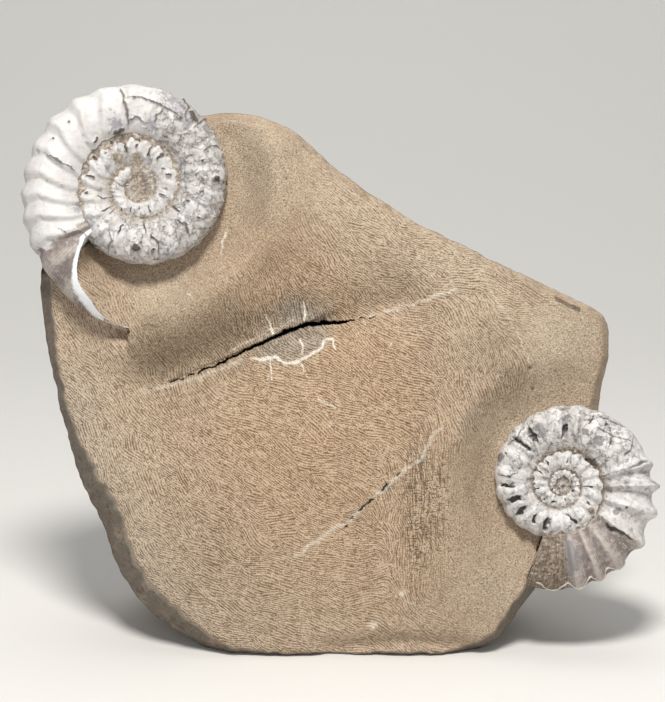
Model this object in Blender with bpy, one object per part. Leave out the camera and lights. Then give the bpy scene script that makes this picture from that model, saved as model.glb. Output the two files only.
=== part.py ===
# A block of brown mudstone with two ribbed ammonites fixed in its face.
# The block stands upright on a flat base. Its face leans back a little from the viewer.
# World axes: +X right, +Y away from the viewer, +Z up, metres.
# Sizes below are millimetres, angles are degrees. A place on the face is (across, up, out):
# across to the right, up along the leaning face, out towards the viewer.

import math
from dataclasses import dataclass

import bmesh
import bpy
import numpy as np
from mathutils import Vector, noise

MM = 0.001
GAP = 0.3                      # clearance between a shell and its seat in the stone

# Block
FACE_LEAN = 12.0
FOOT_Y = -20.0                 # where the face plane meets the ground
HUB = (-3.0, 50.0)             # middle of the face, from which its rings spread
FACE_PITCH = 1.9               # spacing of the points on the face, before it is thinned
SIDE_PITCH = 3.6
BACK_PITCH = 5.0
FEWEST_A_RING = 7              # points on the smallest ring
KEPT_SHARE = 0.29              # share of the block's facets that thinning leaves
SHARP_STONE = 45.0             # edges of the stone sharper than this stay crisp
GROUND_REACH = 200.0           # size of the slab that cuts the flat base

# Outline of the face, clockwise from the top: the last number is how far the bevel
# along the edge runs in, measured across the face
OUTLINE = (
    (-30.3, 103.5, 2.5), (-18.9, 103.7, 2.5), (-10.4, 100.9, 2.2), (-5.6, 97.5, 2.0),
    (0.1, 92.5, 2.0), (11.5, 84.4, 2.0), (19.1, 80.6, 2.2), (34.3, 73.2, 2.2),
    (41.9, 69.7, 2.2), (49.5, 65.9, 2.0), (51.8, 63.3, 1.8), (52.2, 58.0, 1.8),
    (51.0, 51.0, 2.0), (49.5, 42.0, 2.4), (45.5, 31.0, 2.5), (42.0, 21.5, 2.5),
    (38.3, 13.1, 2.4), (34.5, 8.0, 2.4), (30.5, 2.9, 2.2), (26.0, 0.2, 1.8),
    (20.0, -0.8, 1.4), (10.0, -1.0, 1.4), (-7.5, -1.0, 1.4), (-18.0, -0.8, 1.8),
    (-25.5, 0.6, 3.2), (-31.3, 3.6, 4.4), (-36.0, 6.7, 5.0), (-39.8, 10.8, 5.4),
    (-43.2, 16.7, 5.6), (-45.5, 23.2, 5.2), (-48.2, 28.5, 4.9), (-50.8, 35.1, 4.2),
    (-52.7, 42.8, 2.6), (-54.4, 48.5, 1.9), (-55.8, 56.0, 2.2), (-57.1, 63.6, 3.0),
    (-57.9, 71.2, 3.4), (-56.8, 81.5, 3.0), (-54.2, 90.5, 3.0), (-49.0, 98.0, 3.0),
    (-41.0, 102.4, 2.8),
)

# Long soft ridges (+) and troughs (-) of the prepared face: path, half width, height
LAND = (
    (((-12.0, 34.0), (12.0, 38.0), (24.0, 26.0)), 24.0, 3.2),       # swell of the middle
    (((-36.0, 30.0), (-20.0, 14.0), (8.0, 10.0)), 15.0, 1.6),       # swell towards the foot
    (((-38.5, 60.4), (-32.5, 62.6), (-25.0, 67.8), (-18.6, 74.0),
      (-13.0, 80.5), (-11.6, 88.0), (-13.0, 95.0)), 5.6, 3.4),      # ridge round the scoop
    (((-35.0, 51.5), (-24.0, 55.6), (-12.3, 61.2), (-6.9, 63.2),
      (2.0, 64.0), (12.0, 66.5)), 5.0, -3.0),                       # valley of the crack
    (((-2.0, 84.0), (14.0, 74.0), (24.0, 62.0)), 9.0, 1.8),         # shoulder, upper middle
    (((32.0, 57.5), (37.5, 52.5), (43.0, 50.0)), 5.5, -1.8),        # dip above the small shell
    (((30.0, 40.0), (26.5, 28.0), (32.5, 16.0)), 6.0, -1.2),        # scoop beside it
    (((-2.0, 1.2), (12.0, 2.6), (25.0, 1.6)), 1.8, -1.5),           # broken ledge at the foot
)

# The upper right of the face falls back beyond this line, by this slope
FALL_LINE = ((36.2, 54.0), (17.0, 84.0))
FALL_SLOPE = 0.22
FALL_ROUNDING = 2.0

# Bevel along the edge, as shares of its width and of its drop
BEVEL_RINGS = ((0.45, 0.35), (1.0, 1.0))
BEVEL_DROP = 1.0               # least drop over the bevel
BEVEL_STEEPNESS = 1.35         # drop for each millimetre of its width, over and above that

# Rings of the sides (share of the way to the back, share by which they draw in), rings of
# the back as shares of the outline, and the lumps of the broken sides (size, height, seed)
SIDE_RINGS = ((0.22, 0.0), (0.44, 0.01), (0.66, 0.025), (0.84, 0.06), (0.96, 0.12))
BACK_RINGS = (0.78, 0.55, 0.32, 0.12)
LUMPS = ((14.0, 1.5, 3.0), (5.5, 0.6, 8.0))

# The open crack along the valley, and the short slits of the vein below it:
# centre line, widest opening, depth
CRACK = (((-36.0, 50.6), (-29.4, 52.8), (-24.2, 54.9), (-19.9, 56.8), (-16.1, 58.7),
          (-12.3, 60.6), (-6.9, 62.9), (-2.8, 63.1), (1.0, 63.3), (7.3, 64.4)), 1.15, 5.0)
SLITS = (((11.9, 35.4), (8.7, 32.3), (6.6, 30.2), (3.6, 27.6), (1.2, 24.6)), 0.7, 1.8)
CRACK_SWELL = ((0.0, 0.2), (0.25, 0.4), (0.68, 1.0), (0.8, 0.6), (1.0, 0.15))  # opening along it
CRACK_STATIONS = 26
CRACK_TOP = 3.0                # how far the blade that cuts a crack stands out of the face

# Broken planes of the back: (place on the back, outward direction), and how round the
# ridges are where they meet
BACK_PLANES = (
    ((-4.0, 19.4, 42.0), (0.10, 1.0, 0.03)),
    ((24.0, 17.4, 64.0), (0.50, 1.0, 0.30)),
    ((-38.0, 16.9, 40.0), (-0.55, 1.0, 0.06)),
    ((-20.0, 16.4, 84.0), (-0.02, 1.0, 0.30)),
    ((8.0, 18.6, 8.0), (0.12, 1.0, -0.16)),
    ((36.0, 12.8, 28.0), (0.85, 1.0, -0.12)),
)
BACK_ROUNDING = 1.2
LEAST_DEPTH = 9.0

# Shell section, as shares of the outer radius. Angles go round it from the rim inwards.
TUBE_MIDDLE = 0.725
TUBE_REACH = 0.275
OUTER_BOW = 0.85               # below 1 the flank is fuller than an ellipse
INNER_BOW = 1.3                # above 1 the wall of the hollow middle is slacker
SHOULDER = 32.0                # where the next turn laps on to this one, degrees
FLANK_START = 138.0            # where the inner wall of a turn meets the turn within
RIB_SHARE = ((0, 0.8), (30, 1.0), (80, 0.8), (130, 0.4), (160, 0.1))  # rib height by angle
POLE_HEIGHT = 0.35             # height of the coil's very middle
WIDEST_OPENING = 0.97          # keeps the broken edge off the very rim
SHARP_SHELL = 40.0             # edges of the shell sharper than this stay crisp
ROWS_FRONT = (2, 3, 4)         # facets across the front of a turn, inner turns first
ROWS_BACK = (1, 1, 2)
ROWS_RIM = 3
SAMPLES_A_RIB = 4


@dataclass
class Shell:
    """A coiled shell. Growth is in degrees before its end, which is 0."""

    name: str
    centre: tuple              # place of the coil's middle: across, up, out
    lean_to: float             # the side of the coil that stands nearer the viewer
    lean: float
    sense: int                 # +1 grows anticlockwise as seen, -1 clockwise
    end: float                 # direction of the shell's end, anticlockwise from +across
    growth: tuple              # (growth, outer radius)
    turns: int
    ribs: tuple                # (growth, ribs counted up to there): whole at a groove
    rib_height: float          # share of the radius
    rib_sharpness: float       # 1 is round, more is a sharper crest
    rib_sweep: float           # degrees by which a rib bends forward at the rim
    half_breadth: float        # share of the radius
    worn: tuple                # (growth, share of the rib height that is left)
    lip: tuple                 # (growth, radius) of the broken inner edge of the end
    collar: tuple              # (direction, height) of the stone against the coil


LARGE = Shell(
    name="ammonite_upper_left",
    centre=(-38.4, 88.8, 0.0),
    lean_to=225.0,
    lean=4.0,
    sense=1,
    end=267.0,
    growth=((-1080, 2.8), (-897, 4.4), (-720, 6.1), (-627, 8.2), (-537, 10.3),
            (-447, 12.4), (-360, 14.4), (-267, 16.7), (-177, 19.5), (-87, 21.5), (-44, 23.4),
            (-26, 25.0), (-13, 26.0), (0, 27.0)),
    turns=3,
    ribs=((-1080, -49.0), (-557, -23.0), (-523, -21.0), (-360, -12.5), (-149, 0.0), (-116, 2.0),
          (-88, 4.0), (-51, 7.0), (0, 10.5)),
    rib_height=0.034,
    rib_sharpness=0.7,
    rib_sweep=5.0,
    half_breadth=0.25,
    worn=((-400, 0.8), (-350, 0.5), (-300, 0.3), (-215, 0.3), (-185, 0.6), (-165, 1.0),
          (-50, 1.0), (-30, 0.2), (0, 0.0)),
    lip=((-41, 13.6), (-36, 17.0), (-32, 19.3), (-28, 21.2), (-23, 22.5), (-18, 23.5),
         (-14, 24.8), (-10, 25.7), (-5, 26.4), (0, 26.8)),
    collar=((-100, -5.0), (-75, -4.6), (-50, -3.0), (-20, -1.6), (20, -1.2), (60, -1.8),
            (100, -3.6), (150, -4.0), (190, -3.6), (215, -2.6), (260, -5.0)),
)

SMALL = Shell(
    name="ammonite_lower_right",
    centre=(42.4, 32.3, -0.8),
    lean_to=-45.0,
    lean=9.0,
    sense=-1,
    end=260.0,
    growth=((-1090, 2.1), (-820, 3.6), (-730, 4.5), (-640, 5.7), (-550, 6.7),
            (-460, 8.0), (-370, 9.9), (-280, 12.7), (-190, 15.0), (-100, 17.5), (0, 20.1)),
    turns=3,
    ribs=((-1080, -36.5), (-360, -0.5), (-281, 4.0), (-204, 8.0), (-152, 11.0), (-110, 13.0),
          (-82, 15.0), (-49, 18.0), (0, 23.0)),
    rib_height=0.062,
    rib_sharpness=1.45,
    rib_sweep=3.0,
    half_breadth=0.26,
    worn=((-1080, 0.8), (0, 1.0)),
    lip=(),
    collar=((-180, -0.8), (-130, -1.2), (-105, -1.5), (-60, -3.0), (0, -3.0), (45, -2.0),
            (90, -1.2), (135, -0.8), (180, -0.8)),
)

COLLAR_REACH = 10.0            # how far the scoop round a coil runs out
NARROWEST_BANK = 0.5
TIP_FADE = 30.0                # degrees past the lip's tip over which its bank fades out
LIP_CREST = ((0.0, 4.6), (0.5, 4.4), (1.0, 1.2))  # height of the stone inside the lip, along it
LIP_FOOT = -1.5                # height of the stone outside the lip
LIP_SETTLE = 6.0               # how far out from the lip it takes the face's own height

# The seats. A bowl's rings are shares of the coil's outline and of the floor's depth.
# A ring round the broken end has shares of the way from its lip to its rim, and of its height.
SEAT_TOP = 14.0                # how far a cutter stands out of the face
SEAT_OVERRUN = 5.0             # degrees by which a seat runs past the coil's end
SEAT_SAMPLES = 73
SEAT_BOWL = ((1.0, 0.0), (0.985, 0.5), (0.93, 0.85), (0.82, 1.0), (0.6, 1.0))
LIP_SAMPLES = 24
LIP_OVERRUN = 8.0              # degrees by which the room for the broken end starts early
LIP_ROOM = ((0.0, -1.0), (0.55, -1.0), (0.85, -0.85), (1.0, -0.45), (1.0, 0.0))


def clear_scene():
    for obj in list(bpy.data.objects):
        bpy.data.objects.remove(obj, do_unlink=True)


def stone_finish():
    """Brown siltstone, dry and matt."""
    return finish("mudstone", (0.41, 0.31, 0.21, 1.0), 0.9)


def shell_finish():
    """Pale calcite shell, matt with a slight polish."""
    return finish("calcite_shell", (0.72, 0.69, 0.66, 1.0), 0.6)


def finish(name, colour, roughness):
    material = bpy.data.materials.get(name) or bpy.data.materials.new(name)
    material.use_nodes = True
    shader = material.node_tree.nodes["Principled BSDF"]
    shader.inputs["Base Color"].default_value = colour
    shader.inputs["Roughness"].default_value = roughness
    shader.inputs["Metallic"].default_value = 0.0
    return material


def face_to_world(points):
    """Turn (across, up, out) in millimetres into world metres."""
    across, up, out = np.asarray(points, float).T
    lean = math.radians(FACE_LEAN)
    y = FOOT_Y + up * math.sin(lean) - out * math.cos(lean)
    z = up * math.cos(lean) + out * math.sin(lean)
    return np.stack([across, y, z], axis=1) * MM


def soft_step(x):
    x = np.clip(x, 0.0, 1.0)
    return x * x * (3.0 - 2.0 * x)


def closed_curve(points, steps_a_span=12):
    """A smooth closed curve through points, as a dense polyline with its share of length."""
    p = np.asarray(points, float)
    t = np.linspace(0.0, 1.0, steps_a_span, endpoint=False)[:, None]
    spans = []
    for i in range(len(p)):
        a, b, c, d = p[i - 1], p[i], p[(i + 1) % len(p)], p[(i + 2) % len(p)]
        spans.append(0.5 * (2 * b + (c - a) * t + (2 * a - 5 * b + 4 * c - d) * t**2
                            + (3 * b - a - 3 * c + d) * t**3))
    curve = np.concatenate(spans + [p[:1]])
    length = np.cumsum(np.linalg.norm(np.diff(curve[:, :2], axis=0), axis=1))
    return curve, np.concatenate([[0.0], length / length[-1]]), length[-1]


OUTLINE_CURVE, OUTLINE_SHARE, OUTLINE_LENGTH = closed_curve(OUTLINE)


def outline_at(share):
    """Place and bevel width on the outline at a share of its length."""
    return np.stack([np.interp(share, OUTLINE_SHARE, OUTLINE_CURVE[:, i]) for i in range(3)], 1)


def line_distance(points, line):
    """Distance from each point to a polyline."""
    p = np.asarray(points, float)
    line = np.asarray(line, float)
    best = np.full(len(p), np.inf)
    for a, b in zip(line[:-1], line[1:]):
        t = np.clip((p - a) @ (b - a) / ((b - a) @ (b - a)), 0.0, 1.0)
        best = np.minimum(best, np.linalg.norm(p - (a + t[:, None] * (b - a)), axis=1))
    return best


def side_of_line(points, line):
    """Distance beyond a polyline, positive on its right-hand side."""
    p = np.asarray(points, float)
    a, b = np.asarray(line[0]), np.asarray(line[-1])
    ahead = (b - a) / np.linalg.norm(b - a)
    return (p - a) @ np.array([ahead[1], -ahead[0]])


def radius_at(shell, growth):
    """Outer radius of the coil, which grows by a share of itself."""
    key, radius = np.asarray(shell.growth, float).T
    return np.exp(np.interp(growth, key, np.log(radius)))


def growth_at(shell, direction):
    """Growth of the last whole turn in a direction, before its end or its broken lip."""
    last = shell.lip[0][0] if shell.lip else 0.0
    turned = shell.sense * (np.asarray(direction, float) - shell.end)
    return last - np.mod(last - turned, 360.0)


def shell_axes(shell):
    """The coil's own axes in face terms: two in its plane and one towards the viewer."""
    way = math.radians(shell.lean_to)
    lean = math.radians(shell.lean)
    near = np.array([math.cos(way) * math.cos(lean), math.sin(way) * math.cos(lean), math.sin(lean)])
    out = np.array([-math.cos(way) * math.sin(lean), -math.sin(way) * math.sin(lean), math.cos(lean)])
    beside = np.cross(out, near)
    first = near * math.cos(way) - beside * math.sin(way)
    second = near * math.sin(way) + beside * math.cos(way)
    return first, second, out


def coil_to_face(shell, radius, angle, height):
    """Coil place (radius, direction in degrees, height) to (across, up, out)."""
    first, second, out = shell_axes(shell)
    a = np.radians(angle)
    flat = np.outer(radius * np.cos(a), first) + np.outer(radius * np.sin(a), second)
    return np.asarray(shell.centre) + flat + np.outer(height, out)


def coil_edge(shell, radius, direction):
    """Outer radius of the coil in a direction, and the stone's height against it."""
    keys, heights = np.asarray(shell.collar, float).T
    across = radius * np.cos(np.radians(direction))
    up = radius * np.sin(np.radians(direction))
    _, _, out = shell_axes(shell)
    plane = shell.centre[2] - (across * out[0] + up * out[1]) / out[2]
    height = np.interp(direction, keys, heights, period=360.0) + plane
    return radius_at(shell, growth_at(shell, direction)), height, plane


def stone_beside(shell, points, land):
    """The face's height, drawn towards the collar of a coil close to it."""
    p = np.asarray(points, float) - np.asarray(shell.centre[:2])
    radius = np.linalg.norm(p, axis=1)
    direction = np.degrees(np.arctan2(p[:, 1], p[:, 0]))
    edge, collar, plane = coil_edge(shell, radius, direction)
    bank = edge + COLLAR_REACH
    bank_height = land
    if shell.lip:
        bank, bank_height = stone_beside_lip(shell, radius, direction, bank, plane, land)
    share = np.clip((radius - edge) / np.maximum(bank - edge, NARROWEST_BANK), 0.0, 1.0)
    rise = soft_step(share)
    return collar * (1.0 - rise) + bank_height * rise


def stone_beside_lip(shell, radius, direction, bank, plane, land):
    """Where the bank inside a broken lip ends, and the stone's height there and outside it."""
    growth = np.mod(shell.sense * (direction - shell.end) + 180.0, 360.0) - 180.0
    keys, lips = np.asarray(shell.lip, float).T
    lip = np.interp(growth, keys, lips)
    past = soft_step(growth / TIP_FADE)
    within = growth > keys[0]
    bank = np.where(within & (past < 1.0), lip * (1.0 - past) + bank * past, bank)
    along = np.clip((growth - keys[0]) / -keys[0], 0.0, 1.0)
    crest = plane + np.interp(along, *np.asarray(LIP_CREST).T)
    over = np.where(within & (radius < lip + GAP), 1.0 - past, 0.0)
    height = crest * over + land * (1.0 - over)
    outside = within & (growth < 0.0) & (radius >= lip + GAP)
    settle = 1.0 - soft_step((radius - radius_at(shell, growth)) / LIP_SETTLE)
    return bank, np.where(outside, (plane + LIP_FOOT) * settle + land * (1.0 - settle), height)


def face_height(points):
    """Height of the stone's face, without the bevel along its edge."""
    p = np.asarray(points, float)
    height = np.zeros(len(p))
    for line, width, rise in LAND:
        height += rise * np.exp(-(line_distance(p, line) / width) ** 2)
    beyond = np.maximum(side_of_line(p, FALL_LINE), 0.0)
    height -= FALL_SLOPE * (np.hypot(beyond, FALL_ROUNDING) - FALL_ROUNDING)
    for shell in (LARGE, SMALL):
        height = stone_beside(shell, p, height)
    return height


def lumps(points, size, rise, seed):
    """Uneven swelling of a broken surface."""
    return np.array([noise.noise(Vector(p) / size + Vector((seed, 0.0, 0.0))) * rise for p in points])


def back_depth(across, up):
    """Distance behind the face plane at which the broken back lies."""
    lean = math.radians(FACE_LEAN)
    base = np.stack([across, FOOT_Y + up * math.sin(lean), up * math.cos(lean)], axis=1)
    ray = np.array([0.0, math.cos(lean), -math.sin(lean)])
    nearness = np.zeros(len(base))
    for place, way in BACK_PLANES:
        way = np.asarray(way) / np.linalg.norm(way)
        reach = ((np.asarray(place) - base) @ way) / (ray @ way)
        nearness += np.exp(-reach / BACK_ROUNDING)
    return np.maximum(-BACK_ROUNDING * np.log(nearness), LEAST_DEPTH)


def ring_on_outline(count):
    """A ring of places on the outline, with the bevel width and the distance from the hub."""
    edge = outline_at((np.arange(count) + 0.5) / count)
    return edge[:, :2], edge[:, 2], np.linalg.norm(edge[:, :2] - np.asarray(HUB), axis=1)


def stone_rings():
    """Rings of points from the middle of the face, over its edge and sides, to the back."""
    hub = np.asarray(HUB)
    rings = [np.array([[*hub, face_height(hub[None])[0]]])]
    reach = np.linalg.norm(np.asarray(OUTLINE)[:, :2] - hub, axis=1).mean()
    face_rings = int(reach / FACE_PITCH)
    for i in range(1, face_rings + 1):
        inward = i / face_rings
        edge, bevel, span = ring_on_outline(max(FEWEST_A_RING, int(OUTLINE_LENGTH * inward / FACE_PITCH)))
        place = hub + (edge - hub) * ((1.0 - bevel / span) * inward)[:, None]
        rings.append(np.column_stack([place, face_height(place)]))
    edge, bevel, span = ring_on_outline(int(OUTLINE_LENGTH / SIDE_PITCH))
    crest = hub + (edge - hub) * (1.0 - bevel / span)[:, None]
    crest_height = face_height(crest)
    drop = BEVEL_DROP + BEVEL_STEEPNESS * bevel
    for share, fall in BEVEL_RINGS:
        place = crest + (edge - crest) * share
        rings.append(np.column_stack([place, crest_height - drop * fall]))
    first_side = len(rings)
    front = crest_height - drop
    for share, pull in SIDE_RINGS:
        place = hub + (edge - hub) * (1.0 - pull)
        back = -back_depth(*place.T)
        rings.append(np.column_stack([place, front + (back - front) * share]))
    first_back = len(rings) - 1
    for share in BACK_RINGS:
        edge, _, _ = ring_on_outline(max(FEWEST_A_RING, int(OUTLINE_LENGTH * share / BACK_PITCH)))
        place = hub + (edge - hub) * share
        rings.append(np.column_stack([place, -back_depth(*place.T)]))
    rings.append(np.array([[*hub, -back_depth(hub[:1], hub[1:])[0]]]))
    for ring in rings[first_side:]:
        bulge = sum(lumps(ring, *lump) for lump in LUMPS)
        outward = ring[:, :2] - hub
        outward /= np.maximum(np.linalg.norm(outward, axis=1), 1.0)[:, None]
        ring[:, :2] += outward * np.minimum(bulge, 0.0)[:, None]
    for ring in rings[first_back:]:
        ring[:, 2] -= sum(lumps(ring, *lump) for lump in LUMPS)
    return rings


def stitch_rings(first, second):
    """Triangles between two closed rings of points, given as lists of indices."""
    if len(first) == 1:
        return [(first[0], second[i - 1], second[i]) for i in range(len(second))]
    if len(second) == 1:
        return [(first[i], first[i - 1], second[0]) for i in range(len(first))]
    faces = []
    i = j = 0
    while i < len(first) or j < len(second):
        ahead_first = (i + 1) / len(first)
        ahead_second = (j + 1) / len(second)
        a, b = first[i % len(first)], second[j % len(second)]
        if j >= len(second) or (i < len(first) and ahead_first <= ahead_second):
            faces.append((a, b, first[(i + 1) % len(first)]))
            i += 1
        else:
            faces.append((a, b, second[(j + 1) % len(second)]))
            j += 1
    return faces


def stitch_columns(first, second):
    """Triangles between two open columns of indices. Shared points leave no triangle."""
    faces = []
    i = j = 0
    while i < len(first) - 1 or j < len(second) - 1:
        ahead_first = (i + 1) / max(len(first) - 1, 1)
        ahead_second = (j + 1) / max(len(second) - 1, 1)
        if j >= len(second) - 1 or (i < len(first) - 1 and ahead_first <= ahead_second):
            faces.append((first[i], second[j], first[i + 1]))
            i += 1
        else:
            faces.append((first[i], second[j], second[j + 1]))
            j += 1
    return [f for f in faces if len(set(f)) == 3]


def make_object(name, places, faces, material=None):
    """A closed mesh object from world places in metres, its faces turned outwards."""
    mesh = bpy.data.meshes.new(name)
    mesh.from_pydata([tuple(p) for p in places], [], faces)
    solid = bmesh.new()
    solid.from_mesh(mesh)
    bmesh.ops.recalc_face_normals(solid, faces=solid.faces)
    if solid.calc_volume(signed=True) < 0.0:
        bmesh.ops.reverse_faces(solid, faces=solid.faces)
    solid.to_mesh(mesh)
    solid.free()
    obj = bpy.data.objects.new(name, mesh)
    bpy.context.scene.collection.objects.link(obj)
    if material:
        mesh.materials.append(material)
    return obj


def worn_share(shell, growth):
    return np.interp(growth, *np.asarray(shell.worn, float).T)


def section_at(shell, growth, angle, rib):
    """Radius and height of the shell's surface at an angle round its section."""
    radius = radius_at(shell, growth)
    a = np.radians(angle)
    swell = shell.rib_height * radius * (0.5 + (rib - 0.5) * worn_share(shell, growth))
    swell *= np.interp(angle, *np.asarray(RIB_SHARE).T)
    r = radius * (TUBE_MIDDLE + TUBE_REACH * np.cos(a)) - shell.rib_height * radius * 0.5
    z = radius * shell.half_breadth * np.sin(a) ** np.where(np.asarray(angle) > 90.0, INNER_BOW, OUTER_BOW)
    return r + swell * np.cos(a), z + swell * np.sin(a)


def rib_rise(shell, growth):
    """Height of the ribs along the coil, 0 in a groove and 1 on a crest."""
    number = np.interp(growth, *np.asarray(shell.ribs, float).T)
    return (0.5 - 0.5 * np.cos(2.0 * math.pi * number)) ** shell.rib_sharpness


def growths_of_steps(shell):
    """Growth at each step along the coil. The ribs of the last turn set the steps."""
    growths, numbers = np.asarray(shell.ribs, float).T
    first, last = np.interp((-360.0, 0.0), growths, numbers)
    a_turn = round(SAMPLES_A_RIB * (last - first))
    turn = np.interp(np.linspace(first, last, a_turn + 1), numbers, growths)[:-1]
    turns = [turn - 360.0 * back for back in reversed(range(shell.turns))]
    return a_turn, np.concatenate(turns + [[0.0]])


class CoilMesh:
    """A coil as one closed strip: front, rim, back, and the wall of its broken end.

    A step is one column of points from the inner edge of a turn to its shoulder. The inner
    edge of each turn is the shoulder of the turn within. The rim is laid on the last turn
    only, because the turns within are covered by the next one. Past the split, where the
    last turn is broken open, the inner edge is the lip and stands free.
    """

    def __init__(self, shell):
        self.shell = shell
        self.a_turn, self.growths = growths_of_steps(shell)
        self.steps = len(self.growths) - 1
        self.split = self.steps
        if shell.lip:
            self.split = min(k for k, growth in enumerate(self.growths) if growth >= shell.lip[0][0])
        self.bare = self.split - self.a_turn
        self.places = []
        self.poles = {side: self.add(0.0, side * POLE_HEIGHT, 0.0) for side in (1, -1)}
        self.halves = {1: {}, -1: {}}
        self.rim = {}
        self.wall = {}
        for k in range(self.steps + 1):
            self.lay_step(k)

    def add(self, radius, height, growth, sweep=0.0):
        angle = self.shell.end + self.shell.sense * (growth + sweep)
        place = coil_to_face(self.shell, np.array([radius]), np.array([angle]), np.array([height]))
        self.places.append(place[0])
        return len(self.places) - 1

    def add_on_shell(self, k, angle, side):
        growth = self.growths[k]
        bend = self.shell.rib_sweep * np.interp(angle, (0, 70), (1.0, 0.0)) * worn_share(self.shell, growth)
        radius, height = section_at(self.shell, growth, angle, rib_rise(self.shell, growth))
        return self.add(radius, side * height, growth, bend)

    def lay_step(self, k):
        turn = min(k // self.a_turn, self.shell.turns - 1)
        start, shoulder, lip, crest = FLANK_START, SHOULDER, None, None
        if k > self.split:
            lip, start = lip_at(self.shell, self.growths[k])
            _, crest = section_at(self.shell, self.growths[k], start, 0.0)
            shoulder = min(SHOULDER, 0.5 * start)
        for side, rows in ((1, ROWS_FRONT[turn]), (-1, ROWS_BACK[turn])):
            column = self.halves[side]
            if lip is not None:
                column[k] = [self.add(lip, side * crest, self.growths[k])]
            elif k >= self.a_turn:
                column[k] = [column[k - self.a_turn][-1]]
            else:
                column[k] = [self.poles[side]]
                start = 180.0
            for row in range(1, rows + 1):
                column[k].append(self.add_on_shell(k, start + (shoulder - start) * row / rows, side))
        front, back = self.halves[1][k], self.halves[-1][k]
        if k >= self.bare:
            across = [shoulder * (1.0 - 2.0 * row / ROWS_RIM) for row in range(1, ROWS_RIM)]
            middle = [self.add_on_shell(k, abs(angle), 1 if angle >= 0.0 else -1) for angle in across]
            self.rim[k] = [front[-1]] + middle + [back[-1]]
        if k == self.split:
            self.wall[k] = self.rim[self.bare]
        elif k > self.split:
            heights = [crest * (1.0 - 2.0 * row / ROWS_RIM) for row in range(1, ROWS_RIM)]
            middle = [self.add(lip, height, self.growths[k]) for height in heights]
            self.wall[k] = [front[0]] + middle + [back[0]]

    def facets(self):
        front, back, rim, wall = self.halves[1], self.halves[-1], self.rim, self.wall
        faces = []
        for k in range(1, self.steps + 1):
            closes_first_turn = k == self.a_turn
            faces += stitch_columns(front[k - 1], (front[0][:-1] if closes_first_turn else []) + front[k])
            faces += stitch_columns((back[0][:-1] if closes_first_turn else []) + back[k], back[k - 1])
            if k > self.bare:
                faces += stitch_columns(rim[k - 1], rim[k])
            if k > self.split:
                faces += stitch_columns(wall[k], wall[k - 1])
        end = self.steps
        return faces + stitch_columns(front[end] + rim[end][1:] + back[end][::-1][1:], wall[end])


def lip_at(shell, growth):
    """Radius of the broken lip, and the angle round the section at which it lies."""
    lip = np.interp(growth, *np.asarray(shell.lip, float).T)
    share = (lip / radius_at(shell, growth) - TUBE_MIDDLE) / TUBE_REACH
    return lip, math.degrees(math.acos(max(-1.0, min(WIDEST_OPENING, share))))


def build_shell(shell):
    coil = CoilMesh(shell)
    obj = make_object(shell.name, face_to_world(coil.places), coil.facets(), shell_finish())
    obj.data.shade_smooth()
    obj.data.set_sharp_from_angle(angle=math.radians(SHARP_SHELL))
    return obj


def guide_cutter(name, places, faces):
    obj = make_object(name, places, faces)
    obj.hide_render = True
    obj.display_type = "WIRE"
    return obj


def ringed_cutter(name, rings):
    places, faces = ringed_solid(rings)
    return guide_cutter(name, places, faces)


def ringed_solid(rings):
    """World places and triangles of a closed form given as rings of face places."""
    starts = np.cumsum([0] + [len(ring) for ring in rings])
    index = [list(range(a, b)) for a, b in zip(starts[:-1], starts[1:])]
    faces = []
    for first, second in zip(index[:-1], index[1:]):
        faces += stitch_rings(first, second)
    return face_to_world(np.concatenate(rings)), faces


def seat_cutter(shell):
    """A bowl that clears the coil by the gap: its spiral outline, down to a flat floor."""
    last = shell.lip[0][0] if shell.lip else 0.0
    around = np.linspace(-360.0, 0.0, SEAT_SAMPLES) + last + SEAT_OVERRUN
    radius = radius_at(shell, around) * (1.0 + 0.5 * shell.rib_height) + GAP
    direction = shell.end + shell.sense * around
    floor = -(shell.half_breadth + shell.rib_height) * radius - GAP
    rings = [coil_to_face(shell, radius, direction, np.full(len(radius), SEAT_TOP))]
    for share, depth in SEAT_BOWL:
        rings.append(coil_to_face(shell, radius * share, direction, floor * depth))
    top = coil_to_face(shell, np.zeros(1), np.zeros(1), np.array([SEAT_TOP]))
    bottom = coil_to_face(shell, np.zeros(1), np.zeros(1), np.array([floor.mean()]))
    return ringed_cutter(shell.name + "_seat", [top] + rings + [bottom])


def lip_cutter(shell):
    """Room for the broken end of the coil, from inside its lip to outside its rim."""
    rings = []
    for growth in np.linspace(shell.lip[0][0] - LIP_OVERRUN, SEAT_OVERRUN, LIP_SAMPLES):
        lip, opening = lip_at(shell, growth)
        outer = radius_at(shell, growth) * (1.0 + 0.5 * shell.rib_height) + GAP
        inner = lip - 1.5 * GAP
        bow = math.sin(math.radians(opening)) ** OUTER_BOW
        height = outer * (shell.half_breadth + shell.rib_height) * bow + 2.0 * GAP
        share, rise = np.asarray(LIP_ROOM).T
        radius = np.concatenate([[inner], inner + (outer - inner) * share, [outer]])
        rise = np.concatenate([[SEAT_TOP], rise * height, [SEAT_TOP]])
        direction = np.full(len(radius), shell.end + shell.sense * growth)
        rings.append(coil_to_face(shell, radius, direction, rise))
    ends = [rings[i].mean(axis=0, keepdims=True) for i in (0, -1)]
    return ringed_cutter(shell.name + "_lip_seat", ends[:1] + rings + ends[1:])


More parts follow.
